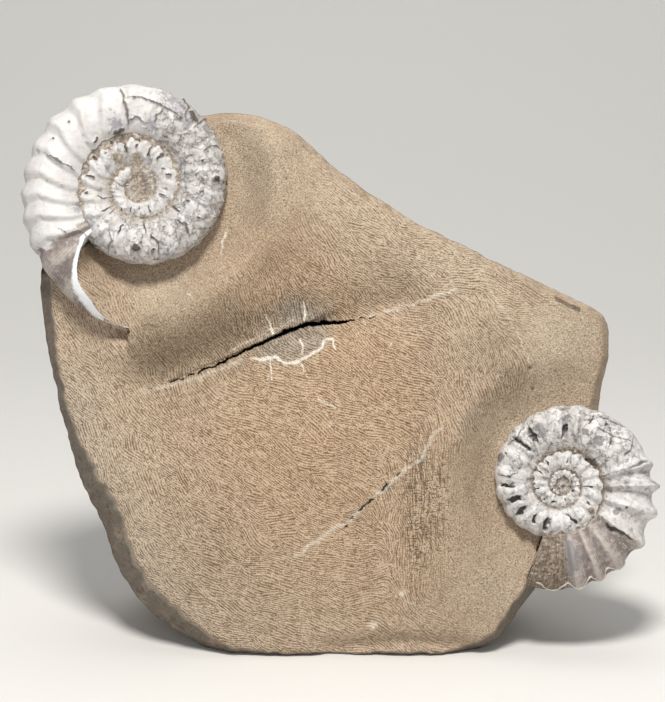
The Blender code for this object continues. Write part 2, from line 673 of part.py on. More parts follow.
def crack_cutter(name, line, opening, depth):
    """A blade that tapers to both ends and to its lower edge."""
    line = np.asarray(line, float)
    lengths = np.concatenate([[0.0], np.cumsum(np.linalg.norm(np.diff(line, axis=0), axis=1))])
    stations = np.linspace(0.0, lengths[-1], CRACK_STATIONS)
    middle = np.column_stack([np.interp(stations, lengths, line[:, i]) for i in range(2)])
    ahead = np.gradient(middle, axis=0)
    ahead /= np.linalg.norm(ahead, axis=1)[:, None]
    beside = np.column_stack([-ahead[:, 1], ahead[:, 0]])
    swell = np.interp(stations / lengths[-1], *np.asarray(CRACK_SWELL).T)
    ground = face_height(middle)
    rings = []
    for i in range(CRACK_STATIONS):
        deep = depth * swell[i]
        wide = 0.5 * opening * swell[i] * (1.0 + CRACK_TOP / deep)
        top = ground[i] + CRACK_TOP
        rings.append(np.array([[*(middle[i] + beside[i] * wide), top],
                               [*(middle[i] - beside[i] * wide), top],
                               [*middle[i], ground[i] - deep]]))
    ends = [rings[i].mean(axis=0, keepdims=True) for i in (0, -1)]
    return ringed_cutter(name, ends[:1] + rings + ends[1:])


def base_cutter():
    """A slab under the ground plane, which leaves the block's flat base."""
    half = 0.5 * GROUND_REACH
    corners = [(-half, -half), (half, -half), (half, half), (-half, half)]
    places = [Vector((x, y, z)) * MM for z in (-half, 0.0) for x, y in corners]
    sides = [(i, (i + 1) % 4, (i + 1) % 4 + 4, i + 4) for i in range(4)]
    return guide_cutter("base_cutter", places, [(3, 2, 1, 0), (4, 5, 6, 7)] + sides)


def build_stone():
    """The block: its face, sides and back, less the cracks, the seats and the base cut."""
    stone = make_object("matrix", *ringed_solid(stone_rings()), stone_finish())
    thin = stone.modifiers.new("thinned", "DECIMATE")
    thin.ratio = KEPT_SHARE
    cutters = [base_cutter(), crack_cutter("crack_cutter", *CRACK), crack_cutter("slit_cutter", *SLITS)]
    cutters += [seat_cutter(LARGE), lip_cutter(LARGE), seat_cutter(SMALL)]
    for cutter in cutters:
        cut = stone.modifiers.new(cutter.name, "BOOLEAN")
        cut.operation = "DIFFERENCE"
        cut.solver = "EXACT"
        cut.object = cutter
    stone.data.shade_smooth()
    stone.data.set_sharp_from_angle(angle=math.radians(SHARP_STONE))
    return stone


def main():
    clear_scene()
    build_stone()
    build_shell(LARGE)
    build_shell(SMALL)


main()
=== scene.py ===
# Looks of a block of brown mudstone with two ribbed ammonites fixed in its face.
# Sizes are millimetres and angles degrees, unless a name says otherwise. A place on the
# face is (across, up, out): across to the right, up along the leaning face, out to the
# viewer. World axes: +X right, +Y away from the viewer, +Z up, metres.

import math
from dataclasses import dataclass

import bmesh
import bpy
import numpy as np
from mathutils import Matrix, Vector, noise


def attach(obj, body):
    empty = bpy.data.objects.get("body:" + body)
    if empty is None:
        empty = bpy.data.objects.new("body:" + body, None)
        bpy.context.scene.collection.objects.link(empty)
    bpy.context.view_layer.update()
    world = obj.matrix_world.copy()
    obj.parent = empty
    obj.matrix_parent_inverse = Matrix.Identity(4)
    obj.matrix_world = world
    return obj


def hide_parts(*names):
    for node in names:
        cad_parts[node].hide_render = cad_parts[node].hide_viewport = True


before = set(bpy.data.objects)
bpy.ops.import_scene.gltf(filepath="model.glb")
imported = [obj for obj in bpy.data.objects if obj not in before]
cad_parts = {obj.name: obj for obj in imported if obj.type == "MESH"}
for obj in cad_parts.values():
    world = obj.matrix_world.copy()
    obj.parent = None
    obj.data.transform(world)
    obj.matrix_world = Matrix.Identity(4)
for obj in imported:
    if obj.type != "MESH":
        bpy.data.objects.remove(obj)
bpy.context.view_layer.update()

bl_info = {
    "name": "Ammonite Block",
    "version": (1, 0, 0),
    "blender": (4, 5, 0),
    "location": "3D View > Sidebar > Fossil",
    "description": "Dresses a mudstone block and its two ammonites",
    "category": "Object",
}

MM = 0.001
GAP = 0.3

# Block
FACE_LEAN = 12.0
FOOT_Y = -20.0                 # where the face plane meets the ground
HUB = (-3.0, 50.0)             # middle of the face, from which its rings spread
FEWEST_A_RING = 7

# Outline of the face, clockwise from the top: the last number is how far the bevel
# along the edge runs in, measured across the face
OUTLINE = (
    (-30.3, 103.5, 2.5), (-18.9, 103.7, 2.5), (-10.4, 100.9, 2.2), (-5.6, 97.5, 2.0),
    (0.1, 92.5, 2.0), (11.5, 84.4, 2.0), (19.1, 80.6, 2.2), (34.3, 73.2, 2.2),
    (41.9, 69.7, 2.2), (49.5, 65.9, 2.0), (51.8, 63.3, 1.8), (52.2, 58.0, 1.8),
    (51.0, 51.0, 2.0), (49.5, 42.0, 2.4), (45.5, 31.0, 2.5), (42.0, 21.5, 2.5),
    (38.3, 13.1, 2.4), (34.5, 8.0, 2.4), (30.5, 2.9, 2.2), (26.0, 0.2, 1.8),
    (20.0, -0.8, 1.4), (10.0, -1.0, 1.4), (-7.5, -1.0, 1.4), (-18.0, -0.8, 1.8),
    (-25.5, 0.6, 3.2), (-31.3, 3.6, 4.4), (-36.0, 6.7, 5.0), (-39.8, 10.8, 5.4),
    (-43.2, 16.7, 5.6), (-45.5, 23.2, 5.2), (-48.2, 28.5, 4.9), (-50.8, 35.1, 4.2),
    (-52.7, 42.8, 2.6), (-54.4, 48.5, 1.9), (-55.8, 56.0, 2.2), (-57.1, 63.6, 3.0),
    (-57.9, 71.2, 3.4), (-56.8, 81.5, 3.0), (-54.2, 90.5, 3.0), (-49.0, 98.0, 3.0),
    (-41.0, 102.4, 2.8),
)

# Long soft ridges (+) and troughs (-) of the prepared face: path, half width, height
LAND = (
    (((-12.0, 34.0), (12.0, 38.0), (24.0, 26.0)), 24.0, 3.2),       # swell of the middle
    (((-36.0, 30.0), (-20.0, 14.0), (8.0, 10.0)), 15.0, 1.6),       # swell towards the foot
    (((-38.5, 60.4), (-32.5, 62.6), (-25.0, 67.8), (-18.6, 74.0),
      (-13.0, 80.5), (-11.6, 88.0), (-13.0, 95.0)), 5.6, 3.4),      # ridge round the scoop
    (((-35.0, 51.5), (-24.0, 55.6), (-12.3, 61.2), (-6.9, 63.2),
      (2.0, 64.0), (12.0, 66.5)), 5.0, -3.0),                       # valley of the crack
    (((-2.0, 84.0), (14.0, 74.0), (24.0, 62.0)), 9.0, 1.8),         # shoulder, upper middle
    (((32.0, 57.5), (37.5, 52.5), (43.0, 50.0)), 5.5, -1.8),        # dip above the small shell
    (((30.0, 40.0), (26.5, 28.0), (32.5, 16.0)), 6.0, -1.2),        # scoop beside it
    (((-2.0, 1.2), (12.0, 2.6), (25.0, 1.6)), 1.8, -1.5),           # broken ledge at the foot
)
FALL_LINE = ((36.2, 54.0), (17.0, 84.0))
FALL_SLOPE = 0.22
FALL_ROUNDING = 2.0

# Bevel and broken sides. The sides draw in towards the back: (share of the way, share drawn in).
BEVEL_DROP = 1.0
BEVEL_STEEPNESS = 1.35
BEVEL_RINGS = 7
BEVEL_BOW = 0.15               # how far the bevel bulges from a straight fall
SIDE_LENGTH = 38.0             # about the depth of the sides, for the number of their rings
SIDE_END = 0.96
SIDE_PULL = ((0.0, 0.0), (0.22, 0.0), (0.44, 0.01), (0.66, 0.025), (0.84, 0.06), (SIDE_END, 0.12))
BACK_START = 0.86              # share of the outline on which the back's first ring lies
LUMPS = ((14.0, 1.5, 3.0), (5.5, 0.6, 8.0))   # size, height, shift of the noise
LEDGE_HEIGHT = 0.45            # of the broken rock between the lumps
NICK_DEPTH = 0.3
SIDE_INSET = 0.35
EDGE_CHIPS = 0.55
EDGE_WAVES = 0.20
BEVEL_WAVES = ((5.0, 33, 0.22), (1.8, 34, 0.10))   # size, seed, share by which the bevel varies
PAINTED_LIGHT_SIDE = (0.6, 0.8)         # way from the middle to the edges that face the light, whose bevels get painted light

# Broken planes of the back: (place on the back, outward direction)
BACK_PLANES = (
    ((-4.0, 19.4, 42.0), (0.10, 1.0, 0.03)),
    ((24.0, 17.4, 64.0), (0.50, 1.0, 0.30)),
    ((-38.0, 16.9, 40.0), (-0.55, 1.0, 0.06)),
    ((-20.0, 16.4, 84.0), (-0.02, 1.0, 0.30)),
    ((8.0, 18.6, 8.0), (0.12, 1.0, -0.16)),
    ((36.0, 12.8, 28.0), (0.85, 1.0, -0.12)),
)
BACK_ROUNDING = 1.2
LEAST_DEPTH = 9.0

# The crack: its line, and its half width and depth along it. The line of the vein's slits.
CRACK = ((-36.0, 50.6), (-29.4, 52.8), (-24.2, 54.9), (-19.9, 56.8), (-16.1, 58.7),
         (-12.3, 60.6), (-6.9, 62.9), (-2.8, 63.1), (1.0, 63.3), (7.3, 64.4))
CRACK_WIDTH = ((0.0, 0.06), (0.15, 0.12), (0.35, 0.20), (0.48, 0.24), (0.58, 0.34), (0.68, 0.50),
               (0.78, 0.46), (0.86, 0.22), (0.91, 0.10), (1.0, 0.05))
CRACK_DEPTH = ((0.0, 0.3), (0.3, 1.2), (0.5, 2.6), (0.66, 4.2), (0.82, 3.8), (1.0, 0.4))
CRACK_WALLS = (0.45, 0.75)     # where its walls start and how wide they are, in half widths
CRACK_WHOLE = (0.2, 0.88)      # outside this stretch it is broken up into short openings
CRACK_BANK = ((0.0, 0.1), (0.3, 0.35), (0.8, 0.45), (1.0, 0.1))  # how far its upper bank rises
LENS_SAG = ((0.35, 0.0), (0.6, 0.9), (0.8, 0.9), (0.95, 0.0))   # how far its lower bank sags
BANK_REACH = 1.6
LENS_REACH = 2.4
SLITS = ((11.9, 35.4), (8.7, 32.3), (6.6, 30.2), (3.6, 27.6), (1.2, 24.6))
SLIT_HALF = 0.06
SLIT_WALL = 0.20
SLIT_DEPTH = 1.1

# White calcite: line, half width, strength. Veins run along the bedding, scratches cross it.
CALCITE = (
    (((-17.2, 56.4), (-15.3, 56.1), (-12.4, 56.6), (-10.4, 55.7), (-8.3, 55.5), (-6.2, 56.6),
      (-4.1, 57.8), (-2.6, 59.8), (-1.2, 60.4)), 0.34, 0.95),
    (((-39.4, 49.6), (-33.0, 51.2), (-27.0, 52.6), (-20.2, 55.4), (-17.2, 56.4)), 0.75, 0.42),
    (((-21.5, 57.6), (-17.5, 59.4), (-13.4, 61.6), (-11.2, 62.4), (-8.2, 63.8)), 0.22, 0.55),
    (((7.3, 64.6), (11.5, 66.0), (17.0, 67.6), (23.0, 70.0)), 0.50, 0.5),
    (((-13.8, 64.6), (-13.3, 62.9), (-12.6, 60.9)), 0.20, 1.0),
    (((-7.0, 67.5), (-6.5, 65.4), (-6.9, 62.7)), 0.20, 1.0),
    (((-7.4, 60.3), (-7.1, 58.4), (-7.0, 56.9)), 0.20, 1.0),
    (((-13.2, 56.3), (-13.0, 53.6), (-12.8, 52.1)), 0.20, 1.0),
    (((-7.4, 55.5), (-6.9, 54.4), (-6.5, 53.7)), 0.20, 1.0),
    (((-1.7, 60.3), (-1.1, 59.0), (-0.6, 57.9)), 0.20, 1.0),
    (((-4.4, 48.9), (-2.4, 47.9), (-0.6, 47.0)), 0.26, 0.6),
    (((-21.2, 80.8), (-22.3, 78.9), (-22.7, 75.8)), 0.20, 1.0),
    (((20.5, 45.0), (17.4, 41.5), (15.3, 37.4), (11.5, 34.8), (8.5, 31.9), (4.8, 28.9), (2.0, 25.7),
      (-1.8, 23.8), (-7.5, 19.6), (-9.4, 18.1)), 0.60, 0.50),
    (((26.1, 74.5), (29.2, 68.5), (33.6, 61.6), (36.3, 55.5), (36.8, 53.0)), 0.24, 0.5),
    (((40.2, 67.4), (42.5, 67.0), (45.0, 66.2)), 0.20, 0.5),
    (((-8.8, 95.0), (-6.5, 95.6), (-4.6, 96.0)), 0.20, 0.4),
    (((1.6, 63.4), (4.4, 64.4), (7.4, 64.7)), 0.26, 0.5),
)
SPOTS = ((9.8, 59.3, 0.5, 0.95), (11.9, 12.0, 0.85, 0.6), (6.4, 5.9, 0.95, 0.6), (-1.8, 44.0, 0.6, 0.45),
         (-22.0, 71.6, 0.3, 0.6), (-28.5, 68.4, 0.28, 0.7), (14.0, 69.0, 0.25, 0.5), (-42.0, 33.0, 0.3, 0.5))
# Deep upright cuts of the tool beside the lower vein: middle, half width and half height of the patch
HATCHED = ((15.0, 27.0, 2.6, 12.5), (19.5, 30.0, 2.2, 7.0))
PITS = ((-10.0, 90.4, 0.35), (-24.6, 42.2, 0.4), (36.4, 54.5, 0.4), (37.0, 50.7, 0.45),
        (41.3, 53.8, 0.35), (12.9, 44.1, 0.3), (-31.0, 35.0, 0.3), (20.5, 20.0, 0.3))
CALCITE_RISE = 0.10
PIT_DEPTH = 0.5

# Unevenness of the stone: size, seed of the noise, swing or height
RAGGED = ((1.3, 1, 0.42), (0.5, 3, 0.18))      # fraying of the crack, the veins and the pits
FACE_WAVES = ((4.5, 7, 0.16), (11.0, 8, 0.25))
COMBED_HEIGHT = 0.10
BROKEN_EDGE = ((1.6, 36, 0.14, 2), (4.0, 37, 0.12, 1))   # the same, with the octaves of each

# Way in which the tool strokes run, in degrees from +across, at places on the face
STROKES = (
    (-26.5, 61.8, -60.0), (-36.0, 44.0, -54.0), (-43.0, 25.7, -52.0), (-22.0, 30.0, -44.0),
    (-17.0, 80.8, -50.0), (-12.0, 68.0, -62.0), (-3.7, 76.0, -38.0), (4.0, 88.0, -28.0),
    (-10.0, 50.0, -30.0), (-1.8, 46.0, -25.0), (10.0, 52.0, -26.0), (0.0, 36.0, -22.0), (-9.0, 36.0, -30.0),
    (2.0, 18.0, -8.0), (-17.0, 11.0, -14.0), (-30.0, 14.0, -34.0), (-8.0, 26.0, -18.0),
    (14.3, 29.5, -80.0), (15.0, 20.0, -86.0), (27.0, 50.0, -76.0), (25.0, 60.0, -55.0),
    (36.0, 68.0, -20.0), (20.0, 76.0, -20.0), (11.5, 61.8, -28.0), (26.0, 12.0, -18.0),
)

# Soft patches of tone on the face: (across, up, radius, strength)
WARM = ((-12.0, 46.0, 22.0, 0.9), (2.0, 20.0, 20.0, 0.6), (-10.0, 72.0, 11.0, 0.7), (10.0, 52.0, 14.0, 0.6))
# Painted shade: darker patches in the valleys and dips of the face that turn away from the light
PAINTED_SHADE = ((-20.0, 61.0, 8.0, 0.9), (-8.0, 65.5, 5.5, 0.7), (-32.0, 56.0, 9.0, 0.75), (33.0, 52.5, 5.0, 0.7),
         (-36.0, 61.0, 4.0, 0.5), (-14.0, 76.0, 6.0, 0.25))
# Paler tone, and painted light where the face turns up to the light, at its top and upper right
PALE = ((-33.0, 68.5, 7.0, 0.8), (-15.0, 96.0, 11.0, 0.6), (24.0, 76.0, 10.0, 0.5), (30.0, 14.0, 11.0, 0.5),
        (31.0, 42.0, 8.0, 0.5), (-22.0, 50.5, 7.0, 0.35), (42.0, 60.0, 9.0, 0.8), (4.0, 86.0, 8.0, 0.5),
        (-47.0, 36.0, 8.0, 0.6), (-40.0, 20.0, 8.0, 0.6), (-51.0, 50.0, 7.0, 0.5))
# Grey patches: those round the crack are painted shade in its valley and on its banks; the others are grey
# tone
GREY = ((-9.0, 58.4, 3.2, 1.0), (-13.5, 57.6, 2.6, 0.8), (-5.0, 60.2, 2.6, 1.0), (-9.0, 64.8, 3.2, 0.9),
        (-3.4, 64.6, 3.4, 0.7), (-15.0, 62.5, 3.0, 0.4), (-53.0, 46.0, 9.0, 0.48), (-48.0, 30.0, 9.0, 0.46),
        (-41.0, 16.0, 9.0, 0.44), (-31.0, 7.0, 8.0, 0.34), (47.0, 62.0, 7.0, 0.2), (15.5, 37.5, 1.6, 0.5),
        (9.0, 32.0, 1.4, 0.6), (3.0, 27.0, 1.6, 0.5))
STIPPLED = ((-15.0, 95.0, 14.0, 1.0), (-30.0, 66.0, 9.0, 1.0), (30.0, 14.0, 14.0, 1.0),
            (46.0, 58.0, 11.0, 1.0), (24.0, 32.0, 9.0, 0.6), (-18.0, 84.0, 9.0, 0.8))
SHELL_STIPPLE = (1.0, 6.0)     # how far from a shell the stippling starts to fade, and over what

# Shell section, as shares of the outer radius. Angles go round it from the rim inwards.
TUBE_MIDDLE = 0.725
TUBE_REACH = 0.275
OUTER_BOW = 0.85
INNER_BOW = 1.3
SHOULDER = 32.0
FLANK_START = 138.0
RIB_SHARE = ((0, 0.8), (30, 1.0), (80, 0.95), (130, 0.5), (160, 0.1))
POLE_HEIGHT = 0.35
WIDEST_OPENING = 0.97
COLLAR_REACH = 10.0
NARROWEST_BANK = 0.5
TIP_FADE = 30.0
LIP_CREST = ((0.0, 4.6), (0.5, 4.4), (1.0, 1.2))
LIP_FOOT = -1.5
LIP_SETTLE = 6.0
UNDER_COIL = 3.0               # how much lower the stone lies once it is well under a coil
UNDER_START = 1.2              # how far under the coil's edge it starts to fall, and over what
UNDER_REACH = 2.0
FILL_SLOPE = 0.30              # fall of the sediment in a seam, away from the outer turn
# The keel of the small shell winds, out at each rib and in between: middle and swing in
# degrees round the section, and the growth over which it shows
KEEL = (24.0, 11.0)
KEEL_SPAN = (-56.0, 9.0)
# The keel carries a painted highlight this many degrees wide, and stands out by the height below
KEEL_REACH = 3.2
KEEL_HEIGHT = 0.28
PAINTED_SHADE_BELOW_KEEL = 0.62              # share of the sediment's brown between the keel and the rim, painted shade on the venter turned from the light
PAINTED_LIP_HIGHLIGHT = 1.6                 # width of the painted highlight along the broken lip of the large shell
LIP_EROSION = 0.3
MARKS_FROM = -20.0             # the marks run round the rim this far to the back, degrees
MARK_FRAY = 0.30
SLOT_FRAY = 0.9                # share of that fraying that the opened grooves take
RIB_SEED = 5
RIB_NUMBERS = 400              # more than the ribs that are counted, which can be below zero
NO_SEDIMENT = -100.0


@dataclass
class Shell:
    """A coiled shell. Growth is in degrees before its end, which is 0."""

    name: str
    centre: tuple              # place of the coil's middle: across, up, out
    lean_to: float             # the side of the coil that stands nearer the viewer
    lean: float
    sense: int                 # +1 grows anticlockwise as seen, -1 clockwise
    end: float                 # direction of the shell's end, anticlockwise from +across
    growth: tuple              # (growth, outer radius)
    turns: int
    ribs: tuple                # (growth, ribs counted up to there): whole at a groove
    rib_height: float          # share of the radius
    keen: tuple                # (growth, sharpness of the ribs: under 1 they are broad)
    scallop: tuple             # (growth, share of the rib height by which the rim stands out)
    rib_lean: float            # how much steeper a rib is on its forward side
    rib_bend: tuple            # (angle round the section, degrees by which a rib runs ahead there)
    half_breadth: float        # share of the radius
    variety: float             # by how much one rib differs in height from the next
    past: float                # degrees for which the shell runs on past its end
    worn: tuple                # (growth, share of the rib height that is left)
    lip: tuple                 # (growth, radius) of the broken inner edge of the end
    collar: tuple              # (direction, height) of the stone against the coil
    eroded: tuple              # (growth, how far the surface is eaten away)
    seam_fill: tuple           # (growth of the outer turn, depth of sediment in its seam)
    purple: tuple              # (growth, share of the surface where a purple-grey layer shows)
    earthy: tuple              # (growth, share of brown matrix on the surface)


LARGE = Shell(
    name="ammonite_upper_left",
    centre=(-38.4, 88.8, 0.0),
    lean_to=225.0,
    lean=4.0,
    sense=1,
    end=267.0,
    growth=((-1080, 2.8), (-897, 4.4), (-720, 6.1), (-627, 8.2), (-537, 10.3),
            (-447, 12.4), (-360, 14.4), (-267, 16.7), (-177, 19.5), (-87, 21.5), (-44, 23.4),
            (-26, 25.0), (-13, 26.0), (0, 27.0)),
    turns=3,
    ribs=((-1080, -49.0), (-557, -23.0), (-523, -21.0), (-360, -12.5), (-149, 0.0), (-116, 2.0),
          (-88, 4.0), (-51, 7.0), (0, 10.5)),
    rib_height=0.034,
    keen=((-1080, 0.8), (-360, 0.8), (-200, 0.9), (0, 0.75)),
    scallop=((-1080, 0.35), (-360, 0.35), (-160, 0.55), (-140, 1.0), (0, 1.0)),
    rib_lean=0.6,
    rib_bend=((0, 0.0), (61, -2.0), (112, 7.0), (138, 9.0)),
    half_breadth=0.25,
    variety=0.3,
    past=0.0,
    worn=((-1080, 0.9), (-720, 1.2), (-440, 1.4), (-380, 1.0), (-300, 0.7), (-215, 0.7), (-185, 0.8),
          (-165, 1.0), (-50, 1.0), (-30, 0.2), (0, 0.0)),
    lip=((-41, 13.6), (-36, 17.0), (-32, 19.3), (-28, 21.2), (-23, 22.5), (-18, 23.5),
         (-14, 24.8), (-10, 25.7), (-5, 26.4), (0, 26.8)),
    collar=((-100, -4.2), (-75, -3.6), (-50, -2.4), (-20, -1.5), (20, -1.2), (60, -1.8),
            (100, -3.6), (150, -4.0), (190, -3.6), (215, -2.6), (260, -4.2)),
    eroded=((-1080, 0.5), (-720, 0.45), (-600, 0.35), (-420, 0.4), (-380, 0.5), (-330, 0.62), (-235, 0.75),
            (-205, 0.7), (-185, 0.35), (-165, 0.08), (-45, 0.04), (0, 0.08)),
    seam_fill=((-1080, 0.2), (-760, 0.3), (-720, 0.5), (-540, 0.5), (-400, 0.4), (-330, 0.5), (-250, 0.8),
               (-190, 1.3), (-140, 1.8), (-80, 2.0), (-55, 1.7), (-44, 1.0)),
    purple=((-1080, 0.0), (-255, 0.0), (-235, 0.35), (-205, 0.35), (-190, 0.0), (-58, 0.0), (-46, 0.85),
            (-20, 0.9), (0, 0.6)),
    earthy=((-1080, 0.6), (-900, 0.42), (-800, 0.25), (-600, 0.15), (-420, 0.12), (0, 0.0)),
)

SMALL = Shell(
    name="ammonite_lower_right",
    centre=(42.4, 32.3, -0.8),
    lean_to=-45.0,
    lean=9.0,
    sense=-1,
    end=260.0,
    growth=((-1090, 2.1), (-820, 3.6), (-730, 4.5), (-640, 5.7), (-550, 6.7),
            (-460, 8.0), (-370, 9.9), (-280, 12.7), (-190, 15.0), (-100, 17.5), (0, 20.1), (10, 20.3)),
    turns=3,
    ribs=((-1080, -36.5), (-360, -0.5), (-281, 4.0), (-204, 8.0), (-152, 11.0), (-122, 12.0),
          (-107, 13.0), (-93, 14.0), (-74, 15.0), (-54, 16.0), (-38, 17.0), (-27, 18.0), (-13, 19.0),
          (4, 20.0), (10, 20.3)),
    rib_height=0.062,
    keen=((-1080, 0.8), (-360, 0.75), (-190, 0.8), (-120, 1.5), (-60, 1.5), (-30, 1.0), (0, 0.8)),
    scallop=((-1080, 0.4), (-360, 0.35), (-170, 0.35), (-125, 0.4), (-112, 1.0), (-58, 1.0), (-45, 0.8),
             (0, 0.7)),
    rib_lean=0.35,
    rib_bend=((0, 1.0), (70, 0.0), (138, 2.0)),
    half_breadth=0.26,
    variety=0.4,
    past=10.0,
    worn=((-1080, 1.0), (-720, 1.1), (-360, 1.1), (-170, 1.1), (-155, 0.6), (-125, 0.6), (-112, 1.2),
          (-60, 1.1), (-45, 0.75), (-14, 0.65), (-8, 0.1), (10, 0.0)),
    lip=(),
    collar=((-180, -0.8), (-130, -1.2), (-105, -1.5), (-60, -3.0), (0, -3.0), (45, -2.0),
            (90, -1.2), (135, -0.8), (180, -0.8)),
    eroded=((-1080, 0.6), (-720, 0.45), (-360, 0.42), (-250, 0.5), (-160, 0.62), (-100, 0.45), (-60, 0.3),
            (-20, 0.2), (0, 0.6)),
    seam_fill=((-1080, 0.3), (-720, 0.35), (-360, 0.35), (-200, 0.6), (-100, 0.7), (-40, 0.6), (0, 0.9)),
    purple=((-1080, 0.0), (-120, 0.0), (-100, 0.15), (-64, 0.35), (-52, 0.62), (-15, 0.78), (0, 0.3)),
    earthy=((-1080, 0.5), (-900, 0.25), (-700, 0.1), (-360, 0.05), (-15, 0.03), (-9, 0.85), (0, 1.0)),
)


@dataclass
class Marks:
    """What marks a shell: places are millimetres across and up from the coil's middle."""

    cracks: tuple              # (line, half width, depth)
    slots: tuple               # the same, for the hollows that the grooves have been opened to, darkened with painted shade
    pits: tuple                # (across, up, radius, depth), darkened with painted shade like the slots
    slate: tuple               # (across, up, radius, strength) of blue-grey patches
    earth: tuple               # the same, of brown sediment


LARGE_MARKS = Marks(
    cracks=(
        (((-3.1, 18.2), (-2.4, 16.8), (-2.0, 15.0), (-1.8, 13.0), (-1.7, 11.4)), 0.26, 0.6),
        (((-2.0, 16.2), (0.9, 16.5), (2.7, 15.6), (4.6, 15.0), (6.2, 14.2), (8.7, 12.2)), 0.2, 0.4),
        (((4.9, 14.6), (3.8, 13.2), (3.4, 11.8)), 0.17, 0.3),
        (((-1.6, 12.2), (-0.3, 12.8), (0.7, 12.7), (1.5, 11.9)), 0.2, 0.35),
        (((10.6, 10.6), (11.7, 11.9), (12.8, 12.7)), 0.22, 0.5),
        (((-17.0, 5.9), (-14.0, 4.0), (-11.6, 2.7)), 0.14, 0.3),
        (((-14.8, -8.2), (-12.6, -9.4), (-10.6, -9.0), (-8.6, -10.4), (-6.4, -11.4)), 0.16, 0.3),
        (((8.2, 17.0), (9.4, 14.6), (9.0, 12.4)), 0.18, 0.3),
        (((12.4, 6.4), (14.0, 7.6), (15.4, 7.2)), 0.18, 0.3),
        (((2.8, -9.0), (4.2, -11.4), (4.0, -13.2)), 0.16, 0.3),
        (((7.4, -6.4), (9.4, -7.6), (10.0, -9.8)), 0.16, 0.3),
        (((-5.4, -8.0), (-4.6, -10.4), (-5.2, -12.2)), 0.15, 0.3),
    ),
    slots=(
        (((-1.9, 8.2), (-1.7, 6.4)), 0.26, 0.5),
        (((3.0, 7.4), (1.9, 5.6)), 0.26, 0.7),
        (((3.7, 5.1), (5.0, 6.1)), 0.48, 0.9),
        (((5.0, 3.6), (5.0, 2.9)), 0.36, 0.6),
        (((5.4, 2.4), (6.4, 2.3)), 0.22, 0.5),
        (((4.4, -1.4), (5.6, -1.8)), 0.22, 0.5),
        (((-8.3, 5.5), (-7.4, 4.8)), 0.42, 0.5),
        (((-9.7, 1.8), (-7.9, 1.2)), 0.34, 0.5),
        (((-0.9, -3.8), (-1.2, -4.8)), 0.16, 0.4),
        (((2.1, -3.6), (2.7, -4.8)), 0.18, 0.4),
        # A painted shadow at the top of the seam, cut in a little
        (((-4.6, 9.8), (-2.3, 10.8)), 0.42, 0.6),
        (((-8.4, 8.2), (-7.2, 9.0)), 0.28, 0.3),
        (((9.7, 13.9), (11.2, 11.7)), 0.42, 0.9),
        (((-7.6, -1.8), (-5.6, -2.8)), 0.2, 0.3),
        (((-6.6, -5.2), (-5.2, -4.0)), 0.2, 0.3),
        (((6.8, -3.8), (8.2, -5.2)), 0.26, 0.4),
        (((1.2, -7.0), (1.9, -9.2)), 0.22, 0.4),
        (((-2.6, -7.4), (-3.4, -9.4)), 0.22, 0.4),
    ),
    pits=(
        (-4.8, 8.1, 0.34, 0.6), (-3.7, 8.2, 0.3, 0.5), (0.4, 8.8, 0.28, 0.5), (0.1, 7.5, 0.42, 0.6),
        (-9.4, -1.4, 0.32, 0.5), (-2.7, -4.1, 0.32, 0.5), (0.5, -4.2, 0.26, 0.4), (-0.1, -11.6, 0.72, 0.9),
        (14.8, 1.4, 0.5, 0.6), (12.2, 4.6, 0.35, 0.5), (9.8, -3.2, 0.35, 0.5), (11.6, -6.0, 0.4, 0.5),
        (-21.0, -9.9, 0.35, 0.3), (-12.4, 11.5, 0.3, 0.3), (-15.5, 8.5, 0.25, 0.25), (3.2, -12.0, 0.3, 0.4),
    ),
    slate=(
        (2.7, 11.6, 1.7, 0.6), (-4.2, 12.2, 2.0, 0.5), (7.6, 15.4, 2.2, 0.75), (-3.3, 10.1, 1.2, 0.8),
        (9.4, 12.0, 1.4, 0.6), (-7.2, 3.4, 1.2, 0.35), (-11.0, -4.4, 1.6, 0.5), (-8.4, -7.4, 1.6, 0.5),
        (12.6, 10.4, 1.6, 0.5), (11.0, -1.6, 1.2, 0.4), (-17.8, -2.0, 2.2, 0.25), (-18.6, -7.4, 2.0, 0.3),
    ),
    earth=(
        (-3.6, 5.2, 1.4, 0.75), (0.1, 5.5, 1.2, 0.8), (-0.1, 2.6, 1.1, 0.6), (0.6, -0.8, 2.4, 0.35),
        (-9.0, -11.0, 1.6, 0.5), (10.5, 5.6, 1.6, 0.25), (7.6, 8.4, 1.3, 0.3), (14.6, -3.6, 1.5, 0.3),
    ),
)
